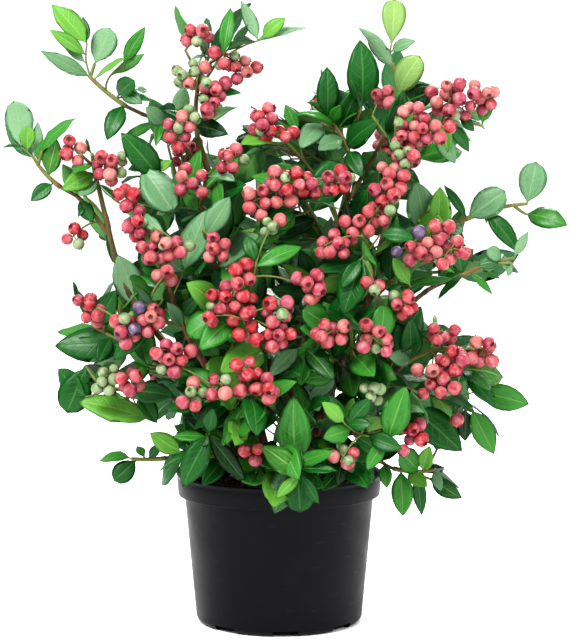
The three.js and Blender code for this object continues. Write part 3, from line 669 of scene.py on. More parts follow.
# Each shape of blade: its width as a share of its length, and how it swells to its widest and
# narrows to its tip.
SHAPES = {
    "oval": (0.51, 0.72, 0.92),
    "round": (0.66, 0.74, 0.58),
    "lance": (0.35, 0.75, 1.0),
    "narrow": (0.25, 0.8, 1.0),
    "paddle": (0.58, 1.0, 0.55),
}
FACES = {
    "front": (0.0, -1.0, 0.3),
    "up": (0.0, -0.55, 0.85),
    "back": (0.15, 1.0, 0.1),
    "left": (-0.8, -0.5, 0.3),
}
SHAPE_SHARES = {"oval": 0.76, "round": 0.08, "lance": 0.16}
TINT_SHARES = {"deep": 0.5, "mid": 0.34, "fresh": 0.08, "blue": 0.07, "lime": 0.01}
# The shoots that leave a cane itself: how many leaves they bear, what these are like, and the place
# on the cane that says which way is outward.
CANE_LEAVES = 26
CANE_MASS = {"sag": 0.05, "leaf_length": 62}
CANE_FACES_AT = 0.6

# Openings in the crown, and the sky round it: the pixel in the middle of each, and its radius in
# pixels. Nothing that the rule adds shows there.
OPENINGS = {
    "left_of_tip": (12, 62, 28),
    "below_tip_leaves": (30, 34, 15),
    "below_tip_shoot": (48, 92, 12),
    "below_tip_stem": (58, 80, 9),
    "between_left_tips": (86, 106, 13),
    "under_upper_bough": (113, 141, 7),
    "above_tip_fork": (112, 18, 16),
    "left_of_crown_top": (160, 36, 14),
    "left_of_crown": (165, 70, 12),
    "left_of_crown_low": (166, 95, 8),
    "crown_peak": (195, 8, 11),
    "left_notch_high": (165, 148, 11),
    "left_notch_low": (179, 156, 8),
    "left_notch_outer": (141, 138, 7),
    "above_left_fruit": (84, 125, 11),
    "above_far_left": (57, 114, 7),
    "right_of_crown": (268, 72, 15),
    "right_of_crown_high": (275, 52, 8),
    "right_of_crown_foot": (255, 98, 8),
    "between_tops": (290, 66, 19),
    "between_tops_left": (275, 92, 14),
    "between_tops_low": (300, 92, 12),
    "left_of_mid_leaf": (318, 53, 12),
    "left_of_mid_leaf_low": (310, 80, 9),
    "right_of_mid_leaf": (334, 62, 8),
    "beside_mid_leaf": (345, 58, 8),
    "below_mid_leaf": (342, 80, 7),
    "left_of_tall": (348, 24, 22),
    "right_of_tall": (435, 43, 19),
    "above_right_top": (470, 57, 12),
    "above_right_top_end": (495, 66, 10),
    "right_of_right_top": (505, 108, 12),
    "above_right_tip": (505, 140, 20),
    "above_right_tip_end": (530, 150, 20),
    "above_right_bough": (474, 163, 11),
    "above_right_bough_in": (440, 174, 9),
    "right_of_tip_leaf": (558, 190, 12),
    "below_right_tip": (547, 258, 18),
    "below_right_tip_low": (530, 288, 18),
    "below_right_sprig": (505, 292, 12),
    "right_bay": (470, 300, 16),
    "right_bay_inner": (445, 304, 15),
    "right_bay_narrow": (455, 292, 10),
    "right_bay_end": (425, 299, 8),
    "right_bay_outer": (492, 312, 15),
    "above_low_fruit": (478, 324, 9),
    "right_of_low_fruit": (507, 343, 14),
    "right_of_low_fruit_end": (511, 367, 12),
    "below_right_stalk_in": (497, 416, 6),
    "below_right_leaf": (522, 436, 18),
    "below_right_stalk": (512, 419, 7),
    "right_of_bottom": (490, 472, 16),
    "above_right_bottom": (465, 468, 12),
    "above_right_bottom_in": (450, 457, 7),
    "below_right_bottom": (440, 508, 9),
    "right_of_rim": (387, 502, 8),
    "rim_right": (362, 499, 12),
    "rim_middle_right": (338, 502, 10),
    "rim_middle": (254, 500, 8),
    "rim_middle_left": (226, 498, 12),
    "rim_left": (202, 502, 12),
    "left_of_rim": (166, 502, 10),
    "left_of_rim_outer": (150, 488, 12),
    "below_left_bottom": (88, 490, 20),
    "left_of_bottom": (75, 462, 16),
    "above_left_bottom": (75, 430, 17),
    "above_left_bottom_in": (110, 432, 9),
    "above_left_twig": (135, 433, 6),
    "left_of_low": (44, 406, 13),
    "left_of_low_high": (40, 382, 13),
    "left_of_mid": (33, 345, 18),
    "left_of_mid_high": (45, 314, 18),
    "left_bay_low": (58, 291, 14),
    "left_bay": (50, 264, 20),
    "left_bay_inner": (80, 268, 15),
    "left_bay_end": (102, 262, 6),
    "left_bay_foot": (85, 276, 13),
    "left_bay_corner": (104, 281, 7),
    "left_bay_slot": (110, 275, 8),
    "left_bay_slit": (95, 296, 5),
    "left_of_hanging": (38, 226, 14),
    "above_hanging": (74, 208, 8),
    "beside_left_cane_high": (116, 214, 6),
    "beside_left_cane": (120, 238, 8),
    "beside_left_cane_low": (130, 258, 8),
    "below_far_left": (20, 205, 16),
    "beside_far_left": (18, 172, 9),
}

# ---------------------------------------------------------------- chance, vectors and curves


def random_stream(seed):
    """The source's linear congruential stream of numbers from 0 to 1."""
    state = seed
    while True:
        state = (state * 1664525 + 1013904223) % 2**32
        yield state / 2**32


def swung(random):
    """A number between -1 and 1."""
    return (next(random) - 0.5) * 2


def ranged(random, least, more):
    """A number between least and least + more."""
    return least + more * next(random)


def any_turn(random):
    return next(random) * 2 * math.pi


def jitter(random):
    """A vector each part of which is between -0.5 and 0.5."""
    return np.array([next(random) - 0.5 for _ in range(3)])


def picked(shares, number):
    """The key whose share of 0 to 1 the number falls in."""
    for key, share in shares.items():
        number -= share
        if number < 0:
            return key
    return key


def turns(count):
    """The angles of so many even steps round an axis."""
    return np.arange(count) * 2 * math.pi / count


def unit(v):
    return v / np.linalg.norm(v)


def outward_from(point):
    """The level direction from the pot's axis to a point."""
    return unit(np.array([point[0], point[1], 0]))


def square_to(direction):
    """Two unit vectors square to a direction, always the same two for the same direction."""
    reference = X_AXIS if abs(direction[2]) > 0.9 else Z_AXIS
    across = unit(np.cross(direction, reference))
    return across, np.cross(direction, across)


def aside_of(axis, azimuth):
    """The direction square to an axis at an azimuth round it."""
    across, along = square_to(axis)
    return across * math.cos(azimuth) + along * math.sin(azimuth)


def leant(axis, azimuth, angle):
    """A direction leant away from an axis by an angle, towards an azimuth round that axis."""
    return axis * math.cos(angle) + aside_of(axis, azimuth) * math.sin(angle)


def gaps_between(points, others):
    """The distance from each point to each of the others."""
    return np.linalg.norm(points[:, None] - others[None], axis=-1)


def smooth_curve(points):
    """A uniform Catmull-Rom curve through the points."""
    points = np.array(points, float)
    padded = np.vstack([2 * points[0] - points[1], points, 2 * points[-1] - points[-2]])
    spans = len(points) - 1

    def at(t):
        t = np.atleast_1d(t) * spans
        span = np.minimum(np.floor(t).astype(int), spans - 1)
        w = (t - span)[:, None]
        before, start, end, after = (padded[span + k] for k in range(4))
        leaving, arriving = (end - before) / 2, (after - start) / 2
        square = 3 * (end - start) - 2 * leaving - arriving
        return start + leaving * w + square * w**2 + (2 * (start - end) + leaving + arriving) * w**3

    return at


def bent_curve(start, bend, end):
    """A quadratic curve from start to end that leaves and arrives by way of bend."""
    start, bend, end = (np.array(p, float) for p in (start, bend, end))

    def at(t):
        t = np.atleast_1d(t)[:, None]
        return start * (1 - t) ** 2 + bend * 2 * t * (1 - t) + end * t**2

    return at


class Tube:
    """A limb, shoot or stalk: a curve with a radius for each place from 0 at its start to 1."""

    STEPS = 12  # the straight spans that it is tested as
    CHORDS = 200  # the chords that its length is measured by

    def __init__(self, curve, radii, flare=0.0):
        self.curve, self.radii, self.flare = curve, radii, flare
        chords = np.diff(curve(np.linspace(0, 1, self.CHORDS + 1)), axis=0)
        self.length = float(np.linalg.norm(chords, axis=1).sum())
        self.samples = curve(np.linspace(0, 1, self.STEPS + 1))
        self.sample_radii = self.radius_at(np.arange(self.STEPS) / self.STEPS)
        self.borne = 0.0  # the place of the outermost thing that grows on it
        self.parent = None

    def radius_at(self, t):
        swell = 1 + self.flare * np.exp(-t * self.length / LIMB["flare_height"])
        return (self.radii[0] * (1 - t) + self.radii[1] * t) * swell

    def at(self, t):
        return self.curve(t)[0]

    def tangent(self, t):
        a, b = self.curve(np.array([max(0, t - 1e-4), min(1, t + 1e-4)]))
        return unit(b - a)

    def bear(self, place):
        self.borne = max(self.borne, place)


def bent_tube(start, bend, end, radii):
    return Tube(bent_curve(start, bend, end), radii)


def spans_of(tubes):
    """The straight spans of several tubes: where each starts, how it runs, and its radius."""
    starts = np.vstack([tube.samples[:-1] for tube in tubes])
    runs = np.vstack([np.diff(tube.samples, axis=0) for tube in tubes])
    return starts, runs, np.concatenate([tube.sample_radii for tube in tubes])


def offsets_from(spans, points):
    """The vector from the nearest point of each span to each point, and its length."""
    starts, runs, _ = spans
    relative = points[:, None] - starts[None]
    t = np.clip((relative * runs).sum(-1) / (runs * runs).sum(-1), 0, 1)
    offsets = relative - t[..., None] * runs
    return offsets, np.linalg.norm(offsets, axis=-1)


def clearance(spans, points):
    """How far each point is from the skin of the nearest tube."""
    return (offsets_from(spans, points)[1] - spans[2]).min(1)


# ---------------------------------------------------------------- what the camera sees


def from_eye(points):
    """Where each point shows from the camera, as a slope across and one up, and how far off it is."""
    relative = points - EYE
    depth = relative @ VIEW_AXIS
    return np.column_stack([relative @ X_AXIS / depth, relative @ VIEW_UP / depth, depth])


def slopes_of(pixel):
    """The slope across and the one up from the camera at which a pixel shows."""
    return np.array([pixel[0] - PHOTO["width"] / 2, PHOTO["height"] / 2 - pixel[1]]) / FOCAL


def seen_at(pixel, y):
    """The point that shows at a pixel and is at y."""
    across, up = slopes_of(pixel)
    ray = VIEW_AXIS + across * X_AXIS + up * VIEW_UP
    return EYE + ray * (y - EYE[1]) / ray[1]


OPENING_SLOPES = np.array([slopes_of(opening[:2]) for opening in OPENINGS.values()])
OPENING_SIZES = np.array([radius for *_, radius in OPENINGS.values()]) / FOCAL


def in_opening(points):
    """True for each point that shows in an opening of the crown, or in the sky round it."""
    return (gaps_between(from_eye(points)[:, :2], OPENING_SLOPES) < OPENING_SIZES).any(1)


# ---------------------------------------------------------------- the source's rule

limbs = {}
masses = {}


def lay_out_limbs():
    """A cane stands upright at its foot, and a bough leaves its cane."""
    ground = COMPOST["top"] + GAP
    for name, (foot, bends, radii) in CANES.items():
        start = [(*foot, ground), (*foot, ground + LIMB["upright_foot"])]
        limbs[name] = Tube(smooth_curve(start + bends), radii, LIMB["flare"])
    for name, (cane, place, bends, radii) in BOUGHS.items():
        start = tuple(limbs[cane].at(place))
        limbs[name] = Tube(smooth_curve([start] + bends), radii)


def lay_out_masses():
    """A mass's stem carries on from the tip of its limb, or bends out of the limb's side."""
    for name, row in MASSES.items():
        mass = dict(zip(MASS_FIELDS, row))
        limb, place, tip = limbs[mass["limb"]], mass["place"], np.array(mass["tip"], float)
        heading = limb.tangent(place)
        start = limb.at(place) + heading * GAP * (place == 1)
        reach = tip - start
        carried_on = STEM["tip_bend" if place == 1 else "side_bend"] * np.linalg.norm(reach)
        bend = start + heading * carried_on + reach * STEM["side_bend"]
        mass["stem"] = bent_tube(start, bend, tip, STEM["radii"])
        mass["centre"] = start * (1 - STEM["centre"]) + tip * STEM["centre"]
        mass["outward"] = outward_from(mass["centre"])
        masses[name] = mass


def meets_pot(points, radius):
    """True for each ball that would meet the pot or the compost."""
    distance = np.hypot(points[:, 0], points[:, 1])
    free = (points[:, 2] > POT["height"] + radius) | (distance > POT["lip_radius"] + radius)
    blocked = distance > POT["lip_radius"] - POT["rim_room"]
    return ~free & (blocked | (points[:, 2] < COMPOST["top"] + radius))


class Space:
    """What a mass may fill: its cell of the crown, less the pot, the limbs and the other stems."""

    def __init__(self, name):
        own = masses[name]
        others = [mass for other, mass in masses.items() if other != name]
        normals = np.array([mass["centre"] - own["centre"] for mass in others])
        distances = np.linalg.norm(normals, axis=1)
        spreads = np.array([mass["spread"] for mass in others])
        shares = (distances**2 + own["spread"] ** 2 - spreads**2) / (2 * distances)
        self.normals = normals / distances[:, None]
        self.offsets = self.normals @ own["centre"] + shares
        reach = own["spread"] + 2 * own["leaf_length"]
        tubes = list(limbs.values()) + [mass["stem"] for mass in others]
        near = [(np.linalg.norm(tube.samples - own["centre"], axis=1) < reach).any() for tube in tubes]
        self.spans = spans_of([tube for tube, is_near in zip(tubes, near) if is_near])

    def holds(self, points, radius, ease=0.0):
        """True for each ball that is in the cell, or no more than ease outside its walls."""
        inside = (points @ self.normals.T + radius + GAP / 2 < self.offsets + ease).all(1)
        inside &= ((points >= CROWN[0]) & (points <= CROWN[1])).all(1)
        inside &= ~meets_pot(points, radius + 2 * GAP)
        return inside & (clearance(self.spans, points) > radius + 2 * GAP)


class WholeCrown(Space):
    """All of the crown's box, for the leafy shoots that leave the canes themselves."""

    def __init__(self):
        self.normals, self.offsets = np.zeros((0, 3)), np.zeros(0)
        self.spans = spans_of(list(limbs.values()) + [mass["stem"] for mass in masses.values()])


def side_shoot(shoot, place, azimuth, lean, length, radii, fits):
    """A shoot that leaves another and bends up a little, shortened until it fits, or else None."""
    start = shoot.at(place)
    heading = leant(shoot.tangent(place), azimuth, math.radians(lean))
    for _ in range(SIDE_SHOOT["tries"]):
        end = start + heading * length + Z_AXIS * length * SIDE_SHOOT["lift"]
        grown = bent_tube(start, start + heading * length / 2, end, radii)
        if fits(grown.samples[SIDE_SHOOT["foot_steps"] :]):
            return grown
        length *= SIDE_SHOOT["shortening"]
    return None


def grow_twigs(mass, space, random):
    """The stem and the side twigs that leave it in a spiral."""

    def fits(points):
        return space.holds(points, TWIG["radii"][0]).all()

    shoots = [mass["stem"]]
    phase = any_turn(random)
    at_foot, less_at_tip = TWIG["shortening"]
    for i in range(mass["twigs"]):
        place = TWIG["from"] + (TWIG["to"] - TWIG["from"]) * (i + 0.5) / mass["twigs"]
        azimuth = phase + i * GOLDEN_ANGLE + swung(random) * TWIG["swing"]
        lean = TWIG["lean"] + swung(random) * TWIG["lean_spread"]
        length = mass["spread"] * ranged(random, *TWIG["length"]) * (at_foot - less_at_tip * place)
        twig = side_shoot(mass["stem"], place, azimuth, lean, length, TWIG["radii"], fits)
        if twig:
            shoots.append(twig)
    return shoots


# ---------------------------------------------------------------- fruit


def racemes_of(centre, half, count, random):
    """Splits a cluster into racemes, spread over it, each with its share of the berries."""
    racemes = max(1, round(count / BERRY["per_raceme"]))
    phase = any_turn(random)
    away = 0.0 if racemes == 1 else CLUSTER["away"]
    extent = np.maximum(half * (1 - away * CLUSTER["less"]), CLUSTER["least"])
    for i in range(racemes):
        turn = phase + 2 * math.pi * i / racemes
        aside = np.array([math.cos(turn), CLUSTER["deep"] * math.sin(2 * turn), math.sin(turn)])
        yield centre + away * half * aside, extent, count // racemes + (i < count % racemes)


class Fruit:
    """Every berry on the bush: where it lies, how big it is, its colour and its raceme."""

    def __init__(self):
        self.centres, self.anchors, self.radii, self.kinds, self.racemes = [], [], [], [], []
        self.stalks = []

    def add_cluster(self, centre, half, count, mix, random, shoots):
        """Adds a cluster's racemes, each with its stalk and its berries."""
        centre, half = np.array(centre, float), np.array(half, float)
        for middle, extent, share in racemes_of(centre, half, count, random):
            self.stalks.append(raceme_stalk(middle, shoots))
            for _ in range(share):
                aim = unit(jitter(random))
                reach = extent * aim * ranged(random, *CLUSTER["reach"])
                kind = picked(MIXES[mix], next(random))
                size = 1 + swung(random) * BERRY["size_spread"]
                self.centres.append(middle + reach)
                self.anchors.append(middle + reach * CLUSTER["drawn_in"])
                self.radii.append(BERRY["radius"] * size * (BERRY["green_size"] if kind == "green" else 1))
                self.kinds.append(kind)
                self.racemes.append(len(self.stalks) - 1)

    def settle(self, tubes):
        """Packs the berries side by side, clear of the shoots and of each other."""
        centres, radii = np.array(self.centres), np.array(self.radii)
        anchors, inset = np.array(self.anchors), radii[:, None] * SETTLE["inset"]
        together = (radii[:, None] + radii[None]) * SETTLE["touch"]
        np.fill_diagonal(together, 0)
        spans = spans_of(tubes)
        for step in range(SETTLE["steps"]):
            if step < SETTLE["drawn_steps"]:
                centres += (anchors - centres) * SETTLE["draw"]
            apart = centres[:, None] - centres[None]
            distance = np.linalg.norm(apart, axis=-1) + 1e-6
            push = np.clip(together - distance, 0, None) * 0.5
            centres += (apart / distance[..., None] * push[..., None]).sum(1) * SETTLE["push"]
            if step % SETTLE["off_tubes_every"] == SETTLE["off_tubes_every"] - 1:
                centres += self._off_tubes(spans, centres, radii)
            centres = np.clip(centres, CROWN[0] + inset, CROWN[1] - inset)
        self.centres, self.radii = centres, radii

    @staticmethod
    def _off_tubes(spans, centres, radii):
        """How far each berry has to move to leave the shoot that it is deepest in."""
        offsets, distances = offsets_from(spans, centres)
        nearest = (distances - spans[2]).argmin(1)
        rows = np.arange(len(centres))
        offset, distance = offsets[rows, nearest], distances[rows, nearest]
        short = np.clip(radii + spans[2][nearest] - distance, 0, None)
        return offset / (distance[:, None] + 1e-6) * short[:, None]


def raceme_stalk(middle, shoots):
    """A stalk that arches from the nearest shoot to the middle of a raceme, and a little past it."""
    places = np.linspace(RACEME["least_place"], 1, RACEME["choices"])
    gaps = np.array([np.linalg.norm(shoot.curve(places) - middle, axis=1) for shoot in shoots])
    nearest, i = np.unravel_index(gaps.argmin(), gaps.shape)
    gap, shoot, place = gaps[nearest, i], shoots[nearest], places[i]
    shoot.bear(place)
    start = shoot.at(place)
    reach = middle - start if gap > 1 else shoot.tangent(1)
    end = middle + unit(reach) * RACEME["reach"]
    bend = (start + middle) / 2 + Z_AXIS * gap * RACEME["rise"]
    return bent_tube(start, bend, end, RACEME["radii"])


def grow_fruit(shoots_of):
    """The clusters of the table, then those of the masses at the back, settled together."""
    fruit = Fruit()
    shoots = [shoot for group in shoots_of.values() for shoot in group] + list(limbs.values())
    random = random_stream(4057)
    for pixel, y, (across, up), deep, count, mix in FRUIT.values():
        pixel_size = (y - EYE[1]) / FOCAL
        half = (across * pixel_size, deep, up * pixel_size)
        fruit.add_cluster(seen_at(pixel, y), half, count, mix, random, shoots)
    fruit.seen = len(fruit.centres)
    for name, mass in masses.items():
        if name.startswith("back_"):
            grow_back_fruit(fruit, mass, shoots_of[name], random)
    fruit.settle(shoots)
    return fruit


def grow_back_fruit(fruit, mass, shoots, random):
    """Berries end the stem first, then the twigs that point most outward, as on the solid."""
    left = round((mass["berries"] + BACK_FRUIT["more"]) * BACK_FRUIT["per_solid"])
    stem, *twigs = shoots
    for shoot in [stem, *sorted(twigs, key=lambda twig: -twig.at(1) @ mass["outward"])]:
        count = min(left, BACK_FRUIT["most"])
        if count <= 0:
            break
        mix = picked(BACK_MIXES, next(random))
        middle = shoot.at(1) + mass["outward"] * BACK_FRUIT["out"] - Z_AXIS * BACK_FRUIT["down"]
        if in_opening(middle + Z_AXIS * BACK_FRUIT["half"][0] * np.array([[-1], [0], [1]])).any():
            continue
        fruit.add_cluster(middle, BACK_FRUIT["half"], count, mix, random, [shoot])
        left -= count


# ---------------------------------------------------------------- sprigs and leaves


def grow_seen_sprigs(name, shoots):
    """The sprigs of the table, each from its place on its shoot to its own end."""
    sprigs = []
    ahead, across = SPRIG["seen_bend"]
    for index, place, pixel, y in SPRIGS.get(name, {}).values():
        start, heading = shoots[index].at(place), shoots[index].tangent(place)
        tip = seen_at(pixel, y)
        reach = tip - start
        bend = start + heading * np.linalg.norm(reach) * ahead + reach * across
        sprigs.append(bent_tube(start, bend, tip, SPRIG["radii"]))
        shoots[index].bear(place)
    return sprigs


def grow_sprigs(shoots, space, fruit, random):
    """Finer side shoots, by the same spiral rule as the twigs, where the fruit leaves room."""

    def fits(points):
        if not space.holds(points, SPRIG["radii"][0], ROOM["ease"] / 2).all() or in_opening(points).any():
            return False
        return (gaps_between(points, fruit.centres) > fruit.radii + SPRIG["radii"][0]).all()

    sprigs = []
    at_foot, less_at_tip = SPRIG["shortening"]
    for index, shoot in enumerate(shoots):
        count = int(shoot.length / SPRIG["spacing"])
        for i in range(count):
            place = SPRIG["from"] + SPRIG["run"] * (i + 0.5) / count
            azimuth = index * 2 + i * GOLDEN_ANGLE + next(random)
            lean = SPRIG["lean"] + swung(random) * SPRIG["lean_spread"]
            length = ranged(random, *SPRIG["length"]) * (at_foot - less_at_tip * place)
            sprig = side_shoot(shoot, place, azimuth, lean, length, SPRIG["radii"], fits)
            if sprig:
                sprig.parent = shoot, place
                sprigs.append(sprig)
    return sprigs


def leaf_sites(shoots):
    """Leaves sit alternately along every shoot, closer towards its tip, which bears one too."""
    sites = []
    for index, shoot in enumerate(shoots):
        sites.append((0, index, shoot, LEAF["end_place"], 0.0, LEAF["end_lean"]))
        count = max(1, int(shoot.length * LEAF["crowding"] / LEAF["spacing"]))
        for i in range(count):
            place = LEAF["first_place"] - LEAF["leafy"] * i / count
            sites.append((i + 1, index, shoot, place, index * 2 + i * GOLDEN_ANGLE, LEAF["side_lean"]))
    return sorted(sites, key=lambda site: site[:2])


# Places on a blade that are tested for what they would touch: share of length, share of half width.
# They are five across it at each of three stations, and two on the midrib near the tip.
TEST_STATIONS, TEST_SIDES = ((0.25, 0.8), (0.5, 1.0), (0.75, 0.7)), (-1, -0.5, 0, 0.5, 1)
TESTED = [(along, side * across) for along, across in TEST_STATIONS for side in TEST_SIDES]
TESTED_ALONG, TESTED_ACROSS = np.array(TESTED + [(0.94, 0), (1, 0)]).T
FOOT_TESTS, MIDDLE_TEST = 5, 7  # how many come first by the foot, and which is the blade's middle


class Leaf:
    """A blade from its foot to its tip, with its upper side turned to facing."""

    def __init__(self, foot, tip, facing, shape, tint, random):
        self.foot, self.tip, self.tint = np.array(foot, float), np.array(tip, float), tint
        self.width_share, self.swell, self.taper = SHAPES[shape]
        self.width_share *= ranged(random, *BLADE["width"])
        self.length = float(np.linalg.norm(self.tip - self.foot))
        self.direction = (self.tip - self.foot) / self.length
        self.side = unit(np.cross(facing, self.direction))
        self.normal = np.cross(self.direction, self.side)
        self.arch = ranged(random, *BLADE["arch"])
        self.fold = ranged(random, *BLADE["fold"])
        self.curl = ranged(random, *BLADE["curl"])
        self.twist = swung(random) * BLADE["twist"]
        self.wave = ranged(random, *BLADE["wave"]), any_turn(random)

    def tested(self):
        """The tested places of the blade, taken as flat."""
        along = TESTED_ALONG[:, None] * self.length * self.direction
        width = TESTED_ACROSS[:, None] * self.length * self.width_share / 2
        lift = self.arch * self.length * (TESTED_ALONG * (1 - TESTED_ALONG))[:, None] / 2
        return self.foot + along + width * self.side + lift * self.normal


class Foliage:
    """Every leaf on the bush, with the places that new leaves have to keep clear of."""

    def __init__(self, fruit):
        self.leaves, self.fruit = [], fruit
        self.points, self.middles, self.seen_blades = (np.zeros((0, 3)) for _ in range(3))
        self.seen_berries = from_eye(fruit.centres[: fruit.seen])

    @staticmethod
    def hides(points, targets, radius):
        """How many of these points stand before one of the targets, which are as big as radius."""
        shown = from_eye(points)
        depths = targets[None, :, 2]
        near = gaps_between(shown[:, :2], targets[:, :2]) * depths < radius
        return int((near & (shown[:, None, 2] < depths)).any(1).sum())

    def keep_in_view(self, leaf):
        """Keeps the outer half of a leaf that shows by itself from being hidden by later leaves."""
        self.seen_blades = np.vstack([self.seen_blades, from_eye(leaf.tested()[FOOT_TESTS:])])

    def add(self, leaf, shoot, place):
        self.leaves.append(leaf)
        shoot.bear(place)
        tested = leaf.tested()
        blade = tested[FOOT_TESTS:]
        self.points = np.vstack([self.points, blade])
        self.middles = np.vstack([self.middles, np.tile(tested[MIDDLE_TEST], (len(blade), 1))])

    def room_for(self, leaf, space, shoots):
        """Whether a leaf would keep clear of all else, and hide nothing that has to show."""
        points = leaf.tested()
        if not space.holds(points, ROOM["thick"], ROOM["ease"]).all() or in_opening(points).any():
            return False
        reach = leaf.length / 2 + ROOM["near"]
        near = np.linalg.norm(self.middles - points[MIDDLE_TEST], axis=1) < reach
        blade = points[FOOT_TESTS:]
        if near.any() and gaps_between(blade, self.points[near]).min() < ROOM["leaves"]:
            return False
        if (gaps_between(points, self.fruit.centres) < self.fruit.radii + ROOM["fruit"]).any():
            return False
        if shoots and clearance(spans_of(shoots), blade).min() < ROOM["shoots"]:
            return False
        if self.hides(points, self.seen_blades, ROOM["shown"]) > 1:
            return False
        return self.hides(points, self.seen_berries, BERRY["radius"] * ROOM["berries"]) <= 1


def grow_seen_leaves(foliage, name, shoots, sprigs, random):
    """The leaves of the table, each from its place on its shoot to its own tip."""
    for index, place, pixel, y, *words in SEEN_LEAVES.get(name, {}).values():
        shoot = shoots[index] if index >= 0 else sprigs[-1 - index]
        face, shape, tint = (
            next((word for word in words if word in known), usual)
            for known, usual in ((FACES, "front"), (SHAPES, "oval"), (TINT_SHARES, "deep"))
        )
        facing = FACES[face] + jitter(random) * BLADE["facing_jitter"]
        leaf = Leaf(shoot.at(place), seen_at(pixel, y), facing, shape, tint, random)
        foliage.add(leaf, shoot, place)
        if name not in CANES:
            foliage.keep_in_view(leaf)


def grow_leaves(foliage, wanted, mass, shoots, space, random):
    """Leaves at the sites in turn, each turned and shortened until there is room for it."""
    outward, sag = mass["outward"], mass["sag"]
    grown = 0
    for _, _, shoot, place, turned, lean in leaf_sites(shoots):
        if grown >= wanted:
            break
        size = 1 + swung(random) * LEAF["length_spread"]
        length = LEAF["length"] * size * (mass["leaf_length"] / LEAF["solid_length"]) ** LEAF["power"]
        swing, tilt, turn, spin = (next(random) for _ in range(4))
        shape = picked(SHAPE_SHARES, next(random))
        tint = picked(TINT_SHARES, next(random))
        tangent = shoot.tangent(place)
        face = math.atan2(outward[1] * MANNER["deep"] - MANNER["front"], outward[0])
        face += (spin - 0.5) * MANNER["spin"]
        level, more = MANNER["up"]
        facing = np.array([math.cos(face), math.sin(face), level + more * turn])
        others = [other for other in shoots if other is not shoot]
        for attempt in range(LEAF["tries"]):
            angle = math.radians(lean + tilt * MANNER["tilt"] - (attempt % 3) * MANNER["less_lean"])
            azimuth = turned + swing * MANNER["swing"] + attempt * MANNER["swing_on"]
            direction = unit(leant(tangent, azimuth, angle) - Z_AXIS * sag * MANNER["sag"])
            foot = shoot.at(place) - direction * LEAF["sunk"]
            tip = foot + direction * length * (MANNER["longest"] - MANNER["shorter"] * attempt)
            leaf = Leaf(foot, tip, facing, shape, tint, random)
            if foliage.room_for(leaf, space, others):
                foliage.add(leaf, shoot, place)
                grown += 1
                break


def grow_inner_shoots(foliage, fruit):
    """Short leafy shoots that leave the canes themselves and fill the middle of the crown."""
    space = WholeCrown()
    inner = []
    for index, name in enumerate(CANES):
        random = random_stream(3571 * (index + 1))
        cane = limbs[name]
        sprigs = grow_sprigs([cane], space, fruit, random)
        outward = outward_from(cane.at(CANE_FACES_AT))
        grow_leaves(foliage, CANE_LEAVES, {"outward": outward, **CANE_MASS}, sprigs, space, random)
        inner += prune(sprigs)
    return inner


def prune(shoots):
    """Drops the shoots that bear nothing. The others end at the last thing that they bear."""
    for shoot in shoots:
        if shoot.borne and shoot.parent:
            carrier, place = shoot.parent
            carrier.bear(place)
    return [shoot for shoot in shoots if shoot.borne]


def grow_bush():
    """All the shoots, the fruit and the leaves."""
    lay_out_limbs()
    lay_out_masses()
    spaces, streams, shoots_of, sprigs_of = {}, {}, {}, {}
    for index, (name, mass) in enumerate(masses.items()):
        spaces[name] = Space(name)
        streams[name] = random_stream(7919 * (index + 1))
        shoots_of[name] = grow_twigs(mass, spaces[name], streams[name])
        sprigs_of[name] = grow_seen_sprigs(name, shoots_of[name])
    fruit = grow_fruit(shoots_of)
    foliage = Foliage(fruit)
    for name, tube in limbs.items():
        grow_seen_leaves(foliage, name, [tube], [], random_stream(61))
    for name in masses:
        grow_seen_leaves(foliage, name, shoots_of[name], sprigs_of[name], streams[name])
    for name, mass in masses.items():
        finer = grow_sprigs(shoots_of[name], spaces[name], fruit, streams[name])
        shoots = shoots_of[name] + sprigs_of[name] + finer
        wanted = FILL_LEAVES.get(name, round(mass["leaves"] * LEAF["per_solid"]))
        grow_leaves(foliage, wanted, mass, shoots, spaces[name], streams[name])
        shoots_of[name] = prune(shoots)
    shoots_of["canes"] = grow_inner_shoots(foliage, fruit)
    return shoots_of, fruit, foliage


# ---------------------------------------------------------------- meshes

BOX_CORNERS = np.array([(x, y, z) for x in (-1, 1) for y in (-1, 1) for z in (-1, 1)], float)
BOX_FACES = np.array([(0, 1, 3, 2), (4, 6, 7, 5), (0, 4, 5, 1), (2, 3, 7, 6), (0, 2, 6, 4), (1, 5, 7, 3)])


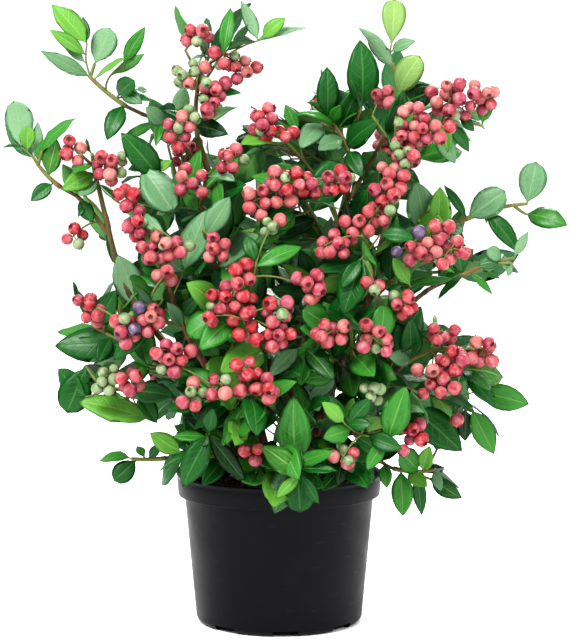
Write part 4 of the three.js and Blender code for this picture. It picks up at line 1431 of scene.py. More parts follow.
class Parts:
    """Many small meshes that become one piece: points in millimetres, faces, materials and maps."""

    def __init__(self):
        self.points, self.loops, self.sizes, self.materials, self.maps = [], [], [], [], []
        self.count = 0

    def add(self, points, faces, materials=None, corner_map=None):
        """Adds one mesh, whose faces are an array with a row of point numbers for each."""
        self.points.append(points)
        self.add_faces(faces + self.count, materials, corner_map)
        self.count += len(points)

    def cap(self, ring, material=0, corner_map=None):
        """Closes a ring of points that were added already with one face."""
        self.add_faces(ring[None], np.array([material]), corner_map)

    def add_faces(self, faces, materials=None, corner_map=None):
        self.loops.append(faces.ravel())
        self.sizes.append(np.full(len(faces), faces.shape[1]))
        self.materials.append(np.zeros(len(faces), int) if materials is None else materials)
        if corner_map is not None:
            self.maps.append(corner_map.reshape(-1, 2))

    def mesh(self, name):
        mesh = bpy.data.meshes.new(name)
        loops, sizes = np.concatenate(self.loops), np.concatenate(self.sizes)
        mesh.vertices.add(self.count)
        mesh.vertices.foreach_set("co", (np.vstack(self.points) * MM).ravel())
        mesh.loops.add(len(loops))
        mesh.loops.foreach_set("vertex_index", loops)
        mesh.polygons.add(len(sizes))
        mesh.polygons.foreach_set("loop_start", np.concatenate([[0], np.cumsum(sizes)[:-1]]))
        mesh.polygons.foreach_set("material_index", np.concatenate(self.materials))
        if self.maps:
            corners = np.vstack(self.maps).ravel()
            for map_name in ("blade", "OFBake"):
                mesh.uv_layers.new(name=map_name).data.foreach_set("uv", corners)
        mesh.update(calc_edges=True)
        mesh.validate()
        return mesh


def linked(name, data):
    """A new object in the scene."""
    new = bpy.data.objects.new(name, data)
    bpy.context.scene.collection.objects.link(new)
    return new


def make_piece(name, mesh, materials, nodes):
    """A smooth piece that rides the root body and stands for its nodes."""
    piece = linked(name, mesh)
    for material in materials:
        mesh.materials.append(material)
    mesh.polygons.foreach_set("use_smooth", np.full(len(mesh.polygons), True))
    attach(piece, "root")
    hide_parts(*nodes)
    return piece


def ring_points(radii, turn, heights):
    """Points of rings round the Z axis, with a radius and a height for each ring and each angle."""
    return np.stack([radii * np.cos(turn), radii * np.sin(turn), heights], -1).reshape(-1, 3)


def ring_faces(rings, sides):
    """Quads between rings of points, each ring closed on itself."""
    ring, side = (grid.ravel() for grid in np.indices((rings - 1, sides)))
    this, after = ring * sides, (side + 1) % sides
    return np.column_stack([this + side, this + after, this + sides + after, this + sides + side])


def frames_along(path):
    """Two vectors square to a path at each of its points, turning as little as they can."""
    tangents = np.gradient(path, axis=0)
    tangents /= np.linalg.norm(tangents, axis=1)[:, None]
    across = np.empty_like(path)
    across[0] = square_to(tangents[0])[0]
    for i in range(1, len(path)):
        across[i] = unit(across[i - 1] - tangents[i] * (across[i - 1] @ tangents[i]))
    return across, np.cross(tangents, across)


def add_tube(parts, path, radii, sides):
    """A closed tube along a path. radii has one radius for each point, or one for each side too."""
    across, along = frames_along(path)
    turn = turns(sides)[None, :, None]
    radii = np.broadcast_to(np.asarray(radii, float).reshape(len(path), -1), (len(path), sides))
    aside = across[:, None] * np.cos(turn) + along[:, None] * np.sin(turn)
    points = (path[:, None] + aside * radii[..., None]).reshape(-1, 3)
    parts.add(points, ring_faces(len(path), sides))
    parts.cap(parts.count - len(points) + np.arange(sides)[::-1])
    parts.cap(parts.count - sides + np.arange(sides))


def add_stalk(parts, tube, sides, spacing, end=1.0):
    """A shoot or stalk whose start is sunk a little and whose end is rounded off."""
    places = np.linspace(0, end, max(4, math.ceil(tube.length * end / spacing)) + 1)
    path = tube.curve(places)
    path[0] -= tube.tangent(0)
    radii = tube.radius_at(places)
    tip = path[-1] + tube.tangent(end) * radii[-1] * 0.7
    add_tube(parts, np.vstack([path, tip]), np.append(radii, radii[-1] * 0.4), sides)


# ---------------------------------------------------------------- leaf blades

STATIONS = np.array([0, 0.05, 0.13, 0.24, 0.38, 0.53, 0.68, 0.81, 0.92, 1])
COLUMNS = np.array([-1, -0.66, -0.3, 0, 0.3, 0.66, 1])
ROWS, ACROSS = len(STATIONS), len(COLUMNS)
TILES = 8  # each leaf and berry takes one of the bands of its material's map, so that they differ


def in_band(places, i):
    """Moves places of 0 to 1 into one of the map's bands, a little inside its edges."""
    return (places * 0.98 + 0.01 + i % TILES) / TILES


def blade_shell():
    """The faces of a blade's upper and lower skins, which share the points of its margin."""
    upper = np.arange(ROWS * ACROSS).reshape(ROWS, ACROSS)
    lower = upper.copy()
    inner = (ROWS - 2) * (ACROSS - 2)
    lower[1:-1, 1:-1] = ROWS * ACROSS + np.arange(inner).reshape(ROWS - 2, ACROSS - 2)
    faces, corners = [], []
    for skin, grid in enumerate((upper, lower)):
        quads = np.stack([grid[:-1, :-1], grid[:-1, 1:], grid[1:, 1:], grid[1:, :-1]], -1)
        u, s = (COLUMNS + 1) / 4 + skin / 2, STATIONS
        across = np.stack([u[:-1], u[1:], u[1:], u[:-1]], -1)[None].repeat(ROWS - 1, 0)
        along = np.stack([s[:-1], s[:-1], s[1:], s[1:]], -1)[:, None].repeat(ACROSS - 1, 1)
        order = 1 - 2 * skin  # the lower skin's faces run the other way round
        faces.append(quads.reshape(-1, 4)[:, ::order])
        corners.append(np.stack([across, along], -1).reshape(-1, 4, 2)[:, ::order])
    skins = np.repeat([0, 1], (ROWS - 1) * (ACROSS - 1))
    return np.vstack(faces), np.vstack(corners), skins


BLADE_FACES, BLADE_MAP, BLADE_SKINS = blade_shell()


def half_widths(leaf):
    """Half the blade's width at each station. The first stations are the short stalk's."""
    stalk = LEAF["petiole"] / leaf.length
    u = np.clip((STATIONS - stalk) / (1 - stalk), 0, 1)
    peak = leaf.swell / (leaf.swell + leaf.taper)
    most = peak**leaf.swell * (1 - peak) ** leaf.taper
    width = u**leaf.swell * (1 - u) ** leaf.taper / most * leaf.length * leaf.width_share / 2
    return np.maximum(width, np.where(STATIONS < 0.5, *BLADE["least_half_width"]))


def blade_points(leaf):
    """The blade arches from foot to tip, folds along its midrib, curls at its sides and twists."""
    s, v = STATIONS[:, None], COLUMNS[None]
    arch = max(leaf.arch * BLADE["arch_angle"], 1e-3)
    along = (math.sin(arch / 2) - np.sin(arch * (0.5 - s))) / (2 * math.sin(arch / 2))
    rise = (np.cos(arch * (0.5 - s)) - math.cos(arch / 2)) / (2 * math.sin(arch / 2))
    width = half_widths(leaf)[:, None]
    fold = leaf.fold * (1 - BLADE["unfold"] * s)
    out = v * width * np.cos(fold)
    lift = np.abs(v) * width * np.sin(fold) - leaf.curl * width * v**2
    size, phase = leaf.wave
    ripple = np.sin(s * BLADE["waves"] + phase + v * BLADE["wave_slant"])
    lift += ripple * np.abs(v) ** 2 * size * leaf.length * (s > STATIONS[1])
    lift += BLADE["groove"] * np.where(v == 0, -1, 0)
    turn = leaf.twist * (s - BLADE["twist_from"])
    side = out * np.cos(turn) - lift * np.sin(turn)
    up = out * np.sin(turn) + lift * np.cos(turn) + leaf.length * rise
    x = leaf.length * along + 0 * v
    upper = leaf.foot + x[..., None] * leaf.direction + side[..., None] * leaf.side
    upper += up[..., None] * leaf.normal
    thick = LEAF["thick"] * np.where(COLUMNS[1:-1] == 0, LEAF["midrib"], 1.0)[None, :, None]
    lower = upper[1:-1, 1:-1] - thick * leaf.normal
    return np.vstack([upper.reshape(-1, 3), lower.reshape(-1, 3)])


def build_leaves(foliage, nodes):
    """All the leaves of a tint are one piece."""
    for tint in TINT_SHARES:
        parts = Parts()
        for i, leaf in enumerate([leaf for leaf in foliage.leaves if leaf.tint == tint]):
            corner_map = BLADE_MAP.copy()
            corner_map[..., 1] = in_band(corner_map[..., 1], i)
            parts.add(blade_points(leaf), BLADE_FACES, BLADE_SKINS, corner_map)
        skins = [leaf_material(tint, "upper"), leaf_material(tint, "lower")]
        make_piece("leaves_" + tint, parts.mesh("leaves_" + tint), skins, nodes)


# ---------------------------------------------------------------- berries

BERRY_SIDES = 15
# A berry's outline from its stalk to the bottom of the star at its crown, in radii of the berry:
# how far out, how far up, and how much the star's five points add to each.
BERRY_PROFILE = np.array([
    (0.05, -0.86, 0, 0), (0.3, -0.84, 0, 0), (0.6, -0.7, 0, 0), (0.85, -0.42, 0, 0), (0.99, -0.05, 0, 0),
    (0.97, 0.32, 0, 0), (0.81, 0.62, 0, 0), (0.55, 0.84, 0, 0), (0.38, 0.9, 0, 0),
    (0.4, 0.98, 0.07, 0.02), (0.33, 1.02, 0.06, 0.07), (0.26, 0.92, 0.02, 0), (0.2, 0.8, 0, 0),
    (0.04, 0.78, 0, 0),
])
CROWN_FROM = 8  # the ring of the outline where the skin ends and the crown starts


def berry_template():
    """A berry of radius 1: its points, its faces, which of them are the crown's, and its map."""
    out, up, star_out, star_up = (column[:, None] for column in BERRY_PROFILE.T)
    turn = turns(BERRY_SIDES)
    star = np.cos(5 * turn)[None]
    points = ring_points(out + star_out * star, turn, up + star_up * star)
    rings = len(BERRY_PROFILE)
    ring, side = (grid.ravel() for grid in np.indices((rings - 1, BERRY_SIDES)))
    u, v, du, dv = side / BERRY_SIDES, ring / (rings - 1), 1 / BERRY_SIDES, 1 / (rings - 1)
    around = ((u, v), (u + du, v), (u + du, v + dv), (u, v + dv))
    corners = np.stack([np.column_stack(corner) for corner in around], 1)
    return points, ring_faces(rings, BERRY_SIDES), (ring >= CROWN_FROM).astype(int), corners


def join_berries(fruit):
    """Finds where each berry's own stalk leaves its raceme's, and turns its crown away from there."""
    random = random_stream(90121)
    places = np.linspace(PEDICEL["least_place"], 1, PEDICEL["choices"])
    fruit.joints, fruit.frames = [], []
    for centre, raceme in zip(fruit.centres, fruit.racemes):
        path = fruit.stalks[raceme].curve(places)
        joint = path[np.linalg.norm(path - centre, axis=1).argmin()]
        swing = jitter(random) * BERRY["jitter"]
        axis = unit(unit(centre - joint) - Z_AXIS * BERRY["droop"] + swing)
        aside = aside_of(axis, any_turn(random))
        fruit.joints.append(joint)
        fruit.frames.append(np.stack([aside, np.cross(axis, aside), axis]))


def build_berries(fruit, nodes):
    """All the berries of a kind are one piece. Each is closed at its stalk and in its crown."""
    points, faces, materials, corners = berry_template()
    ring = np.arange(BERRY_SIDES)
    for kind in BERRY_COLOURS:
        parts = Parts()
        for i in [i for i, other in enumerate(fruit.kinds) if other == kind]:
            corner_map = corners.copy()
            corner_map[..., 0] = in_band(corner_map[..., 0], i)
            placed = fruit.centres[i] + points * fruit.radii[i] @ fruit.frames[i]
            parts.add(placed, faces, materials, corner_map)
            first = parts.count - len(points)
            for cap, skin in ((first + ring[::-1], 0), (parts.count - BERRY_SIDES + ring, 1)):
                parts.cap(cap, skin, np.tile([(0.5 + i % TILES) / TILES, skin], (1, BERRY_SIDES, 1)))
        skins = [berry_material(kind), crown_material(kind)]
        make_piece("berries_" + kind, parts.mesh("berries_" + kind), skins, nodes)


def build_stalks(fruit, nodes):
    """The racemes' stalks, and a short one to each berry that doesn't sit on them."""
    parts = Parts()
    for stalk in fruit.stalks:
        add_stalk(parts, stalk, RACEME["sides"], RACEME["ring"])
    berries = zip(fruit.joints, fruit.centres, fruit.radii, fruit.frames)
    for joint, centre, radius, (_, _, axis) in berries:
        if np.linalg.norm(centre - joint) < radius * PEDICEL["sits_by"]:
            continue
        end = centre - axis * radius * PEDICEL["end"]
        bend = (joint + end) / 2 - axis * radius * PEDICEL["bend"]
        pedicel = bent_tube(joint, bend, end, PEDICEL["radii"])
        add_stalk(parts, pedicel, PEDICEL["sides"], PEDICEL["ring"])
    make_piece("fruit_stalks", parts.mesh("fruit_stalks"), [shoot_material()], nodes)


def build_shoots(shoots_of, nodes):
    """The masses' stems, twigs and sprigs, each as far as the last thing that it bears."""
    parts = Parts()
    for shoots in shoots_of.values():
        for shoot in shoots:
            end = min(1, shoot.borne + 1 / shoot.length)
            add_stalk(parts, shoot, SHOOT_MESH["sides"], SHOOT_MESH["ring"], end)
    make_piece("shoots", parts.mesh("shoots"), [shoot_material()], nodes)


# ---------------------------------------------------------------- bark, pot and compost

BARK = {"sides": 16, "ring": 2.8, "sunk": 4.0, "ridge": 0.3}
FLAKE = {"across": 0.55, "along": 0.11, "finer": 2.3}
BARK_NODE = {"every": 29.0, "first": 7, "swell": 0.5, "width": 2.6, "twist": 2.4}
COMPOST_MESH = {"sides": 150, "rings": 34, "first_ring": 2.4, "skirt": 16, "off_wall": 0.9}
# Two sizes of lumps on the compost: how high they are and how wide.
LUMPS, CRUMBS = (1.3, 9), (0.8, 3.1)
CHIPS = {
    "count": 260,
    "seed": 3313,
    "reach": 76,
    "drop_run": 24,
    "lie": 0.6,
    "tip": 0.6,
    "half_sizes": ((1.6, 3.4), (1.0, 1.8), (0.5, 0.5)),  # the least and what chance adds
    "ragged": (0.75, 0.5),
}


def build_limb(name, limb):
    """A limb with flaking ridges that run along it and a swelling at each of its old nodes."""
    places = np.linspace(0, 1, math.ceil(limb.length / BARK["ring"]) + 1)
    path, radii = limb.curve(places), limb.radius_at(places)
    if name in CANES:
        path = np.vstack([path[0] - Z_AXIS * BARK["sunk"], path])
        radii, places = np.append(radii[0], radii), np.append(0, places)
    across, along = frames_along(path)
    relief = np.empty((len(path), BARK["sides"]))
    share = BARK["ridge"] * (0.5 + radii / 10)
    every = BARK_NODE["every"]
    for i, distance in enumerate(places * limb.length):
        node = (distance + BARK_NODE["first"]) % every - every / 2
        swelling = BARK_NODE["swell"] * math.exp(-((node / BARK_NODE["width"]) ** 2))
        for k, angle in enumerate(turns(BARK["sides"])):
            aside = across[i] * math.cos(angle) + along[i] * math.sin(angle)
            spot = Vector(aside * radii[i] * FLAKE["across"]) + Vector((0, 0, distance * FLAKE["along"]))
            flake = noise.noise(spot) + 0.5 * noise.noise(spot * FLAKE["finer"] + Vector((9, 4, 2)))
            one_side = 0.6 + 0.4 * math.cos(angle - BARK_NODE["twist"] * distance)
            relief[i, k] = share[i] * flake + swelling * one_side
    parts = Parts()
    add_tube(parts, path, radii[:, None] + relief, BARK["sides"])
    make_piece("bark_" + name, parts.mesh("bark_" + name), [bark_material()], [name])


def wall_radius(z):
    """The radius of the outside of the pot's wall at a height."""
    share = (z - POT["corner_radius"]) / (LIP_FOOT - POT["corner_radius"])
    return POT["wall_foot_radius"] + (POT["wall_top_radius"] - POT["wall_foot_radius"]) * share


def arc_points(middle, radius, start, end, steps):
    """Points of a profile on an arc from one angle to another, in degrees."""
    angles = np.radians(np.linspace(start, end, steps + 1))
    return [(middle[0] + radius * math.cos(a), middle[1] + radius * math.sin(a)) for a in angles]


def pot_profile():
    """The pot's outline from the middle of its foot, up the outside and down the inside."""
    corner, lip, taper = POT["corner_radius"], POT["lip_radius"], POT["lip_taper"]
    foot, bead, height = POT["wall_foot_radius"], POT["bead"], POT["height"]
    wall, floor = POT["wall"], POT["floor"]
    return [
        (0, floor * 0.5),
        (foot - corner - 6, floor * 0.5),
        (foot - corner - 4, 0.2),
        *arc_points((foot - corner, corner), corner, -90, 0, 8),
        *((wall_radius(z), z) for z in (20.0, 44.0, 68.0, 92.0, LIP_FOOT - 3)),
        *arc_points((wall_radius(LIP_FOOT - 1) + 1.2, LIP_FOOT - 1.6), 1.2, 180, 90, 4),
        *arc_points((lip - taper - 1.0, LIP_FOOT + 0.7), 1.0, -90, 0, 4),
        (lip - taper * 0.6, LIP_FOOT + 8),
        (lip - taper * 0.3, height - 5.4),
        (lip - taper * 0.3 - 0.4, height - 4.2),
        (lip - bead * 0.6, height - 3.4),
        *arc_points((lip - 1.5, height - 1.5), 1.5, -20, 170, 9),
        (lip - 3 * bead, height - 3),
        (lip - taper - 2.4, LIP_FOOT + 3),
        (wall_radius(LIP_FOOT) - wall, LIP_FOOT - 1),
        (wall_radius(corner) - wall, corner + 1),
        (foot - corner, floor),
        (0, floor),
    ]


def lathe(profile, sides):
    """Turns a profile, whose first and last points are on the axis, into a closed mesh."""
    inner = np.array(profile[1:-1])
    points = ring_points(inner[:, :1], turns(sides), np.repeat(inner[:, 1:], sides, 1))
    ends = np.array([(0, 0, profile[0][1]), (0, 0, profile[-1][1])])
    parts = Parts()
    parts.add(np.vstack([points, ends]), ring_faces(len(inner), sides))
    side = np.arange(sides)
    after, last = (side + 1) % sides, (len(inner) - 1) * sides
    parts.add_faces(np.vstack([
        np.column_stack([after, side, np.full(sides, len(points))]),
        np.column_stack([last + side, last + after, np.full(sides, len(points) + 1)]),
    ]))
    return parts


def notch_cutters():
    """Boxes that stand where the drain notches are cut in the pot's foot."""
    parts = Parts()
    corners = BOX_CORNERS * (POT["notch_depth"] / 2, POT["notch_width"] / 2, POT["notch_height"])
    corners[:, 0] += POT["wall_foot_radius"]
    for i in range(POT["notches"]):
        angle = (i + POT["notch_turn"]) / POT["notches"] * 2 * math.pi
        parts.add(corners @ np.array(Matrix.Rotation(angle, 3, "Z")).T, BOX_FACES)
    return parts


def build_pot():
    """The pot's shell, with the drain notches cut out of its foot."""
    pot = linked("pot_uncut", lathe(pot_profile(), POT["sides"]).mesh("pot_uncut"))
    cutters = linked("notches", notch_cutters().mesh("notches"))
    cut = pot.modifiers.new("notches", "BOOLEAN")
    cut.operation, cut.object, cut.solver = "DIFFERENCE", cutters, "EXACT"
    mesh = bpy.data.meshes.new_from_object(pot.evaluated_get(bpy.context.evaluated_depsgraph_get()))
    mesh.name = "pot_body"
    for uncut in (pot, cutters):
        bpy.data.objects.remove(uncut)
    shell = make_piece("pot_body", mesh, [pot_material()], ["pot"])
    shell.data.set_sharp_from_angle(angle=math.radians(40))


def build_compost():
    """Loose compost with chips of bark on it, a little lower at its edge."""
    top, edge_drop, flat = COMPOST["top"], COMPOST["edge_drop"], COMPOST["flat_radius"]
    side, sides = wall_radius(LIP_FOOT) - POT["wall"] - COMPOST_MESH["off_wall"], COMPOST_MESH["sides"]
    rings = np.append(np.linspace(COMPOST_MESH["first_ring"], side, COMPOST_MESH["rings"]), side)
    drop = np.clip((rings - flat) / (side - flat), 0, 1) ** 1.5 * edge_drop
    points = np.empty((len(rings), sides, 3))
    for i, radius in enumerate(rings):
        for k, angle in enumerate(turns(sides)):
            x, y = radius * math.cos(angle), radius * math.sin(angle)
            lumps = sum(
                high * noise.noise((x / wide, y / wide, layer))
                for (high, wide), layer in ((LUMPS, 0), (CRUMBS, 5))
            )
            points[i, k] = x, y, top - drop[i] + lumps
    points[-1, :, 2] = top - edge_drop - COMPOST_MESH["skirt"]
    parts = Parts()
    parts.add(points.reshape(-1, 3), ring_faces(len(rings), sides))
    parts.cap(np.arange(sides)[::-1])
    parts.cap((len(rings) - 1) * sides + np.arange(sides))
    add_chips(parts)
    make_piece("compost_top", parts.mesh("compost_top"), [compost_material()], ["compost"])


def add_chips(parts):
    """Flat chips of bark that lie about on the compost, each turned and tipped its own way."""
    random = random_stream(CHIPS["seed"])
    for _ in range(CHIPS["count"]):
        size = np.array([ranged(random, *side) for side in CHIPS["half_sizes"]])
        spin = Matrix.Rotation(any_turn(random), 3, "Z")
        tip = Matrix.Rotation(swung(random) * CHIPS["tip"], 3, "X")
        radius, angle = CHIPS["reach"] * math.sqrt(next(random)), any_turn(random)
        drop = max(0, radius - COMPOST["flat_radius"]) / CHIPS["drop_run"] * COMPOST["edge_drop"]
        height = COMPOST["top"] + CHIPS["lie"] - drop
        place = (radius * math.cos(angle), radius * math.sin(angle), height)
        ragged = BOX_CORNERS * size * [[ranged(random, *CHIPS["ragged"])] for _ in BOX_CORNERS]
        parts.add(ragged @ np.array(spin @ tip).T + place, BOX_FACES)


# ---------------------------------------------------------------- materials


def linear(colour):
    """A display colour of 0 to 255 as the linear colour that a shader takes."""
    shares = [c / 255 for c in colour]
    return tuple(s / 12.92 if s <= 0.0393 else ((s + 0.055) / 1.055) ** 2.4 for s in shares) + (1,)


class Graph:
    """A material's node tree with short ways to add to it."""

    def __init__(self, name, **settings):
        self.material = bpy.data.materials.new(name)
        self.material.use_nodes = True
        self.tree = self.material.node_tree
        self.shader = self.tree.nodes["Principled BSDF"]
        for socket, value in settings.items():
            self.set(socket.replace("_", " "), value)

    def node(self, kind, inputs=(), **settings):
        node = self.tree.nodes.new("ShaderNode" + kind)
        for setting, value in settings.items():
            setattr(node, setting, value)
        for socket, value in dict(inputs).items():
            self.feed(node.inputs[socket], value)
        return node

    def feed(self, socket, value):
        if isinstance(value, bpy.types.NodeSocket):
            self.tree.links.new(value, socket)
        else:
            socket.default_value = value

    def set(self, name, value):
        """Feeds an input of the material's shader."""
        self.feed(self.shader.inputs[name], value)

    def math(self, operation, *values):
        return self.node("Math", enumerate(values), operation=operation).outputs[0]

    def plus(self, *values):
        return self.math("ADD", *values)

    def times(self, *values):
        return self.math("MULTIPLY", *values)

    def ramp(self, value, low, high, start=0.0, end=1.0):
        """Takes low to start and high to end, smoothly, and holds them outside."""
        inputs = {"Value": value, "From Min": low, "From Max": high, "To Min": start, "To Max": end}
        return self.node("MapRange", inputs, interpolation_type="SMOOTHSTEP").outputs[0]

    def mix(self, share, first, second):
        inputs = {0: share, 6: first, 7: second}
        return self.node("Mix", inputs, data_type="RGBA").outputs[2]

    def noise(self, vector, scale, detail=3.0):
        inputs = {"Vector": vector, "Scale": scale, "Detail": detail, "Roughness": 0.55}
        return self.node("TexNoise", inputs).outputs[0]

    def place(self):
        return self.node("TexCoord").outputs["Object"]

    def stretched(self, vector, along):
        """A place whose noise is drawn out along the Z axis where along is below 1."""
        return self.node("Mapping", {"Vector": vector, "Scale": (1, 1, along)}).outputs[0]

    def map_place(self):
        """The two parts of a place on the blade's or berry's map."""
        corner = self.node("UVMap", uv_map="blade").outputs[0]
        return self.node("SeparateXYZ", {0: corner}).outputs[:2]

    def bump(self, height, strength, distance):
        inputs = {"Height": height, "Strength": strength, "Distance": distance}
        self.set("Normal", self.node("Bump", inputs).outputs[0])


# The darker and lighter green of each tint's upper side, the green of its lower side, and its veins.
LEAF_COLOURS = {
    "deep": ((0, 28, 2), (12, 76, 18), (66, 110, 72), (68, 116, 56)),
    "mid": ((4, 54, 8), (46, 110, 34), (82, 124, 72), (96, 138, 66)),
    "fresh": ((34, 88, 18), (82, 134, 48), (100, 138, 72), (120, 156, 76)),
    "lime": ((78, 114, 54), (112, 144, 78), (128, 154, 98), (144, 168, 100)),
    "blue": ((36, 80, 44), (88, 126, 88), (108, 140, 106), (114, 148, 104)),
}
# Each kind of berry: its skin where the sun has coloured it, its paler skin, and its crown.
BERRY_COLOURS = {
    "coral": ((140, 36, 44), (162, 80, 84), (110, 42, 44)),
    "rose": ((126, 26, 44), (150, 62, 76), (98, 32, 42)),
    "scarlet": ((136, 8, 20), (152, 38, 44), (90, 20, 28)),
    "blush": ((156, 74, 72), (168, 106, 98), (114, 66, 56)),
    "green": ((88, 114, 66), (122, 144, 104), (88, 98, 60)),
    "plum": ((54, 42, 70), (90, 78, 108), (48, 34, 46)),
}
BLOOM = (190, 154, 158)
RIBS = 7.5  # how many pairs of side veins a blade has


def leaf_material(tint, skin):
    """A blade's skin: mottled by its place on the map, and toned by the band it takes."""
    dark, light, under, vein = (linear(c) for c in LEAF_COLOURS[tint])
    upper = skin == "upper"
    graph = Graph("leaf_%s_%s" % (tint, skin), Specular_IOR_Level=0.24 if upper else 0.12)
    across, along, tile, ribs, midrib = blade_veins(graph, 0.0 if upper else 0.5)
    spot = graph.node("CombineXYZ", {0: graph.times(across, 1.6), 1: along, 2: tile}).outputs[0]
    mottle = graph.noise(spot, 3.4)
    tone = graph.node("TexWhiteNoise", {"W": graph.plus(tile, 0.5)}, noise_dimensions="1D").outputs[0]
    share = graph.ramp(graph.plus(graph.times(mottle, 0.9), graph.times(tone, 0.55)), 0.35, 1.0)
    if upper:
        green = graph.mix(graph.times(ribs, 0.13), graph.mix(share, dark, light), vein)
        graph.set("Base Color", graph.mix(graph.times(midrib, 0.55), green, vein))
        graph.set("Roughness", graph.ramp(mottle, 0.2, 0.8, 0.3, 0.44))
        graph.bump(graph.plus(ribs, midrib), 0.35, 0.0004)
    else:
        veins = graph.math("MAXIMUM", ribs, midrib)
        pale = graph.mix(graph.times(share, 0.35), under, light)
        graph.set("Base Color", graph.mix(graph.times(veins, 0.5), pale, vein))
        graph.set("Roughness", 0.62)
        graph.bump(veins, 0.5, 0.0004)
    return graph.material


def blade_veins(graph, start):
    """How far across the blade, from -1 to 1, the band plus how far along it, the band, the veins.

    start is where the skin's own half of the map starts."""
    u, v = graph.map_place()
    across = graph.math("SUBTRACT", graph.times(graph.math("SUBTRACT", u, start), 4), 1)
    along = graph.times(v, TILES)
    aside = graph.math("ABSOLUTE", across)
    run = graph.math("SUBTRACT", graph.math("FRACT", along), graph.times(aside, 0.2))
    ripple = graph.math("SINE", graph.times(run, 2 * math.pi * RIBS))
    ribs = graph.times(graph.ramp(ripple, 0.8, 1.0), graph.ramp(aside, 0.98, 0.3))
    return across, along, graph.math("FLOOR", along), ribs, graph.ramp(aside, 0.09, 0.02)


def round_place(graph):
    """A berry's map as a place on a round skin, so that no seam shows, and its height."""
    u, height = graph.map_place()
    band = graph.times(u, TILES)
    turn = graph.times(graph.math("FRACT", band), 2 * math.pi)
    deep = graph.plus(graph.times(height, 3), graph.times(graph.math("FLOOR", band), 7))
    inputs = {0: graph.math("COSINE", turn), 1: graph.math("SINE", turn), 2: deep}
    return graph.node("CombineXYZ", inputs).outputs[0], height


def berry_material(kind):
    """A berry's skin, mottled from dark to pale, with a waxy bloom over it."""
    dark, pale, _ = (linear(c) for c in BERRY_COLOURS[kind])
    graph = Graph("berry_" + kind, Specular_IOR_Level=0.3, Roughness=0.46)
    spot, height = round_place(graph)
    flush = graph.ramp(graph.noise(spot, 0.6, 1), 0.3, 0.7)
    bloom = graph.times(graph.ramp(graph.noise(spot, 1.4), 0.4, 0.75), 0.34)
    skin = graph.mix(bloom, graph.mix(flush, dark, pale), linear(BLOOM))
    rim = graph.ramp(height, 0.46, 0.62)
    graph.set("Base Color", graph.mix(graph.times(rim, 0.45), skin, dark))
    graph.bump(graph.noise(spot, 7, 2), 0.12, 0.0004)
    return graph.material


def crown_material(kind):
    """The star at the end of a berry, darker in its hollow."""
    crown = linear(BERRY_COLOURS[kind][2])
    dimmed, hollow = (tuple(c * share for c in crown[:3]) + (1,) for share in (0.7, 0.5))
    graph = Graph("crown_" + kind, Specular_IOR_Level=0.2, Roughness=0.6)
    spot, height = round_place(graph)
    dull = graph.mix(graph.noise(spot, 3, 2), crown, dimmed)
    graph.set("Base Color", graph.mix(graph.ramp(height, 0.78, 0.95), dull, hollow))
    return graph.material


@functools.cache
def shoot_material():
    """Young shoots are olive green, flushed with red here and there."""
    graph = Graph("young_shoot", Specular_IOR_Level=0.25, Roughness=0.55)
    place = graph.place()
    flush = graph.ramp(graph.noise(place, 22, 2), 0.44, 0.66, 0.0, 0.75)
    green = graph.mix(graph.noise(place, 160, 2), linear((68, 80, 36)), linear((114, 122, 62)))
    graph.set("Base Color", graph.mix(flush, green, linear((110, 70, 50))))
    graph.bump(graph.noise(place, 700, 2), 0.25, 0.0003)
    return graph.material


@functools.cache
def bark_material():
    """Old canes are brown with grey flakes and darker cracks, and turn olive higher up."""
    graph = Graph("cane_bark", Specular_IOR_Level=0.2, Roughness=0.72)
    place = graph.place()
    height = graph.node("SeparateXYZ", {0: place}).outputs[2]
    drawn_out = graph.stretched(place, 0.28)
    flakes = graph.noise(drawn_out, 260, 4)
    brown = graph.mix(graph.ramp(flakes, 0.35, 0.65), linear((56, 36, 28)), linear((108, 74, 56)))
    grey = graph.ramp(graph.noise(drawn_out, 90), 0.55, 0.72)
    brown = graph.mix(graph.times(grey, 0.5), brown, linear((146, 130, 110)))
    olive = graph.mix(flakes, linear((58, 56, 30)), linear((100, 92, 54)))
    young = graph.plus(height, graph.times(graph.noise(place, 30, 2), 0.08))
    brown = graph.mix(graph.ramp(young, 0.3, 0.43, 0.0, 0.8), brown, olive)
    graph.set("Base Color", graph.mix(graph.ramp(flakes, 0.36, 0.28), brown, linear((38, 24, 17))))
    graph.bump(flakes, 0.6, 0.0006)
    return graph.material


def pot_material():
    """Satin black plastic with a fine grain, a few scuffs and a little dust."""
    graph = Graph("black_plastic", Specular_IOR_Level=0.1)
    place = graph.place()
    scuffs = graph.ramp(graph.noise(graph.stretched(place, 4), 60, 5), 0.62, 0.8)
    dust = graph.ramp(graph.noise(place, 14, 4), 0.5, 0.8)
    black = graph.mix(graph.times(dust, 0.35), linear((8, 8, 12)), linear((20, 21, 26)))
    graph.set("Base Color", graph.mix(graph.times(scuffs, 0.25), black, linear((60, 62, 66))))
    graph.set("Roughness", graph.ramp(graph.noise(place, 40), 0.3, 0.7, 0.36, 0.46))
    graph.bump(graph.noise(place, 900, 2), 0.08, 0.0003)
    return graph.material


def compost_material():
    """Dark brown crumbs with paler ones among them."""
    graph = Graph("compost_crumbs", Specular_IOR_Level=0.1, Roughness=0.9)
    place = graph.place()
    crumbs = graph.noise(place, 420, 4)
    brown = graph.mix(graph.ramp(crumbs, 0.3, 0.7), linear((26, 18, 13)), linear((84, 60, 42)))
    pale = graph.ramp(graph.noise(place, 150), 0.64, 0.74)
    graph.set("Base Color", graph.mix(graph.times(pale, 0.6), brown, linear((124, 96, 68))))
    graph.bump(crumbs, 0.8, 0.001)
    return graph.material


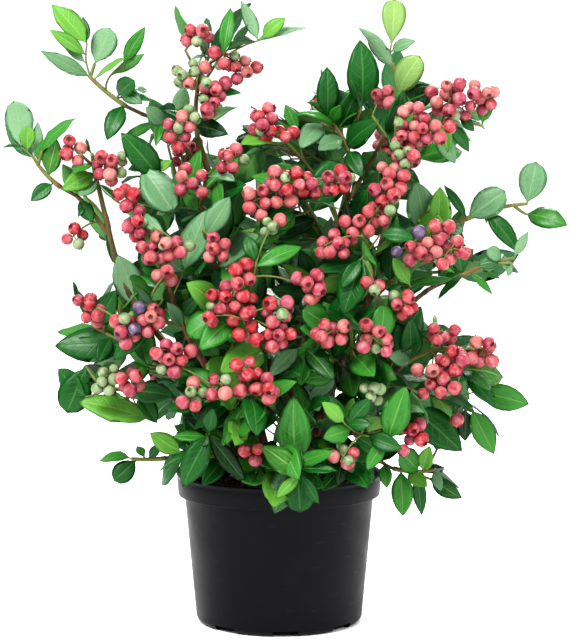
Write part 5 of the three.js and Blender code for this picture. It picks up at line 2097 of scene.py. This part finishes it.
def floor_material():
    graph = Graph("white_floor", Specular_IOR_Level=0.0, Roughness=0.9)
    white = graph.mix(graph.noise(graph.place(), 3, 1), (0.95, 0.95, 0.95, 1), (0.97, 0.97, 0.97, 1))
    graph.set("Base Color", white)
    return graph.material


# ---------------------------------------------------------------- stage, camera and lights

FLOOR = {"rings": (0.001, 0.4, 1.2, 4.0, 12.0), "sides": 64, "below": 0.2}
# Soft boxes: where each stands in metres, its size and its power. All point at the bush.
LIGHTS = {
    "key": ((-0.8, -1.6, 2.1), 0.9, 85.0),
    "fill": ((1.6, -1.1, 1.0), 1.2, 14.0),
    "back": ((0.6, 1.7, 1.8), 1.0, 50.0),
}
AIM = Vector((0, 0, 0.3))
SKY_STRENGTH = 1.05


def build_stage():
    """A white floor that runs out to the distance, so that its edge doesn't show."""
    rings, sides = np.array(FLOOR["rings"])[:, None] / MM, FLOOR["sides"]
    level = np.full((len(rings), sides), -FLOOR["below"])
    parts = Parts()
    parts.add(ring_points(rings, turns(sides), level), ring_faces(len(rings), sides))
    parts.cap(np.arange(sides)[::-1])
    floor = linked("floor", parts.mesh("floor"))
    floor.data.materials.append(floor_material())
    floor.data.flip_normals()


def build_camera():
    camera = linked("camera", bpy.data.cameras.new("camera"))
    camera.location = Vector(CAMERA["place"]) * MM
    camera.rotation_euler = (math.pi / 2 - CAMERA["pitch"], 0, 0)
    camera.data.lens = CAMERA["lens"]
    camera.data.sensor_width = CAMERA["sensor"]
    bpy.context.scene.camera = camera


def build_lights():
    for name, (place, size, power) in LIGHTS.items():
        light = bpy.data.lights.new(name, "AREA")
        light.size, light.energy = size, power
        box = linked(name, light)
        box.location = place
        box.rotation_euler = (AIM - Vector(place)).to_track_quat("-Z", "Y").to_euler()
    scene = bpy.context.scene
    scene.world = bpy.data.worlds.new("studio")
    scene.world.use_nodes = True
    background = scene.world.node_tree.nodes["Background"]
    background.inputs["Color"].default_value = (1, 1, 1, 1)
    background.inputs["Strength"].default_value = SKY_STRENGTH
    scene.view_settings.view_transform = "Standard"
    scene.view_settings.look = "Medium High Contrast"


# ---------------------------------------------------------------- the whole plant

foliage_nodes = [name for name in frame["nodes"] if name.startswith("foliage_")]
shoots_of, fruit, foliage = grow_bush()
join_berries(fruit)
build_pot()
build_compost()
for name, limb in limbs.items():
    build_limb(name, limb)
build_shoots(shoots_of, foliage_nodes)
build_stalks(fruit, foliage_nodes)
build_berries(fruit, foliage_nodes)
build_leaves(foliage, foliage_nodes)
build_stage()
build_camera()
build_lights()
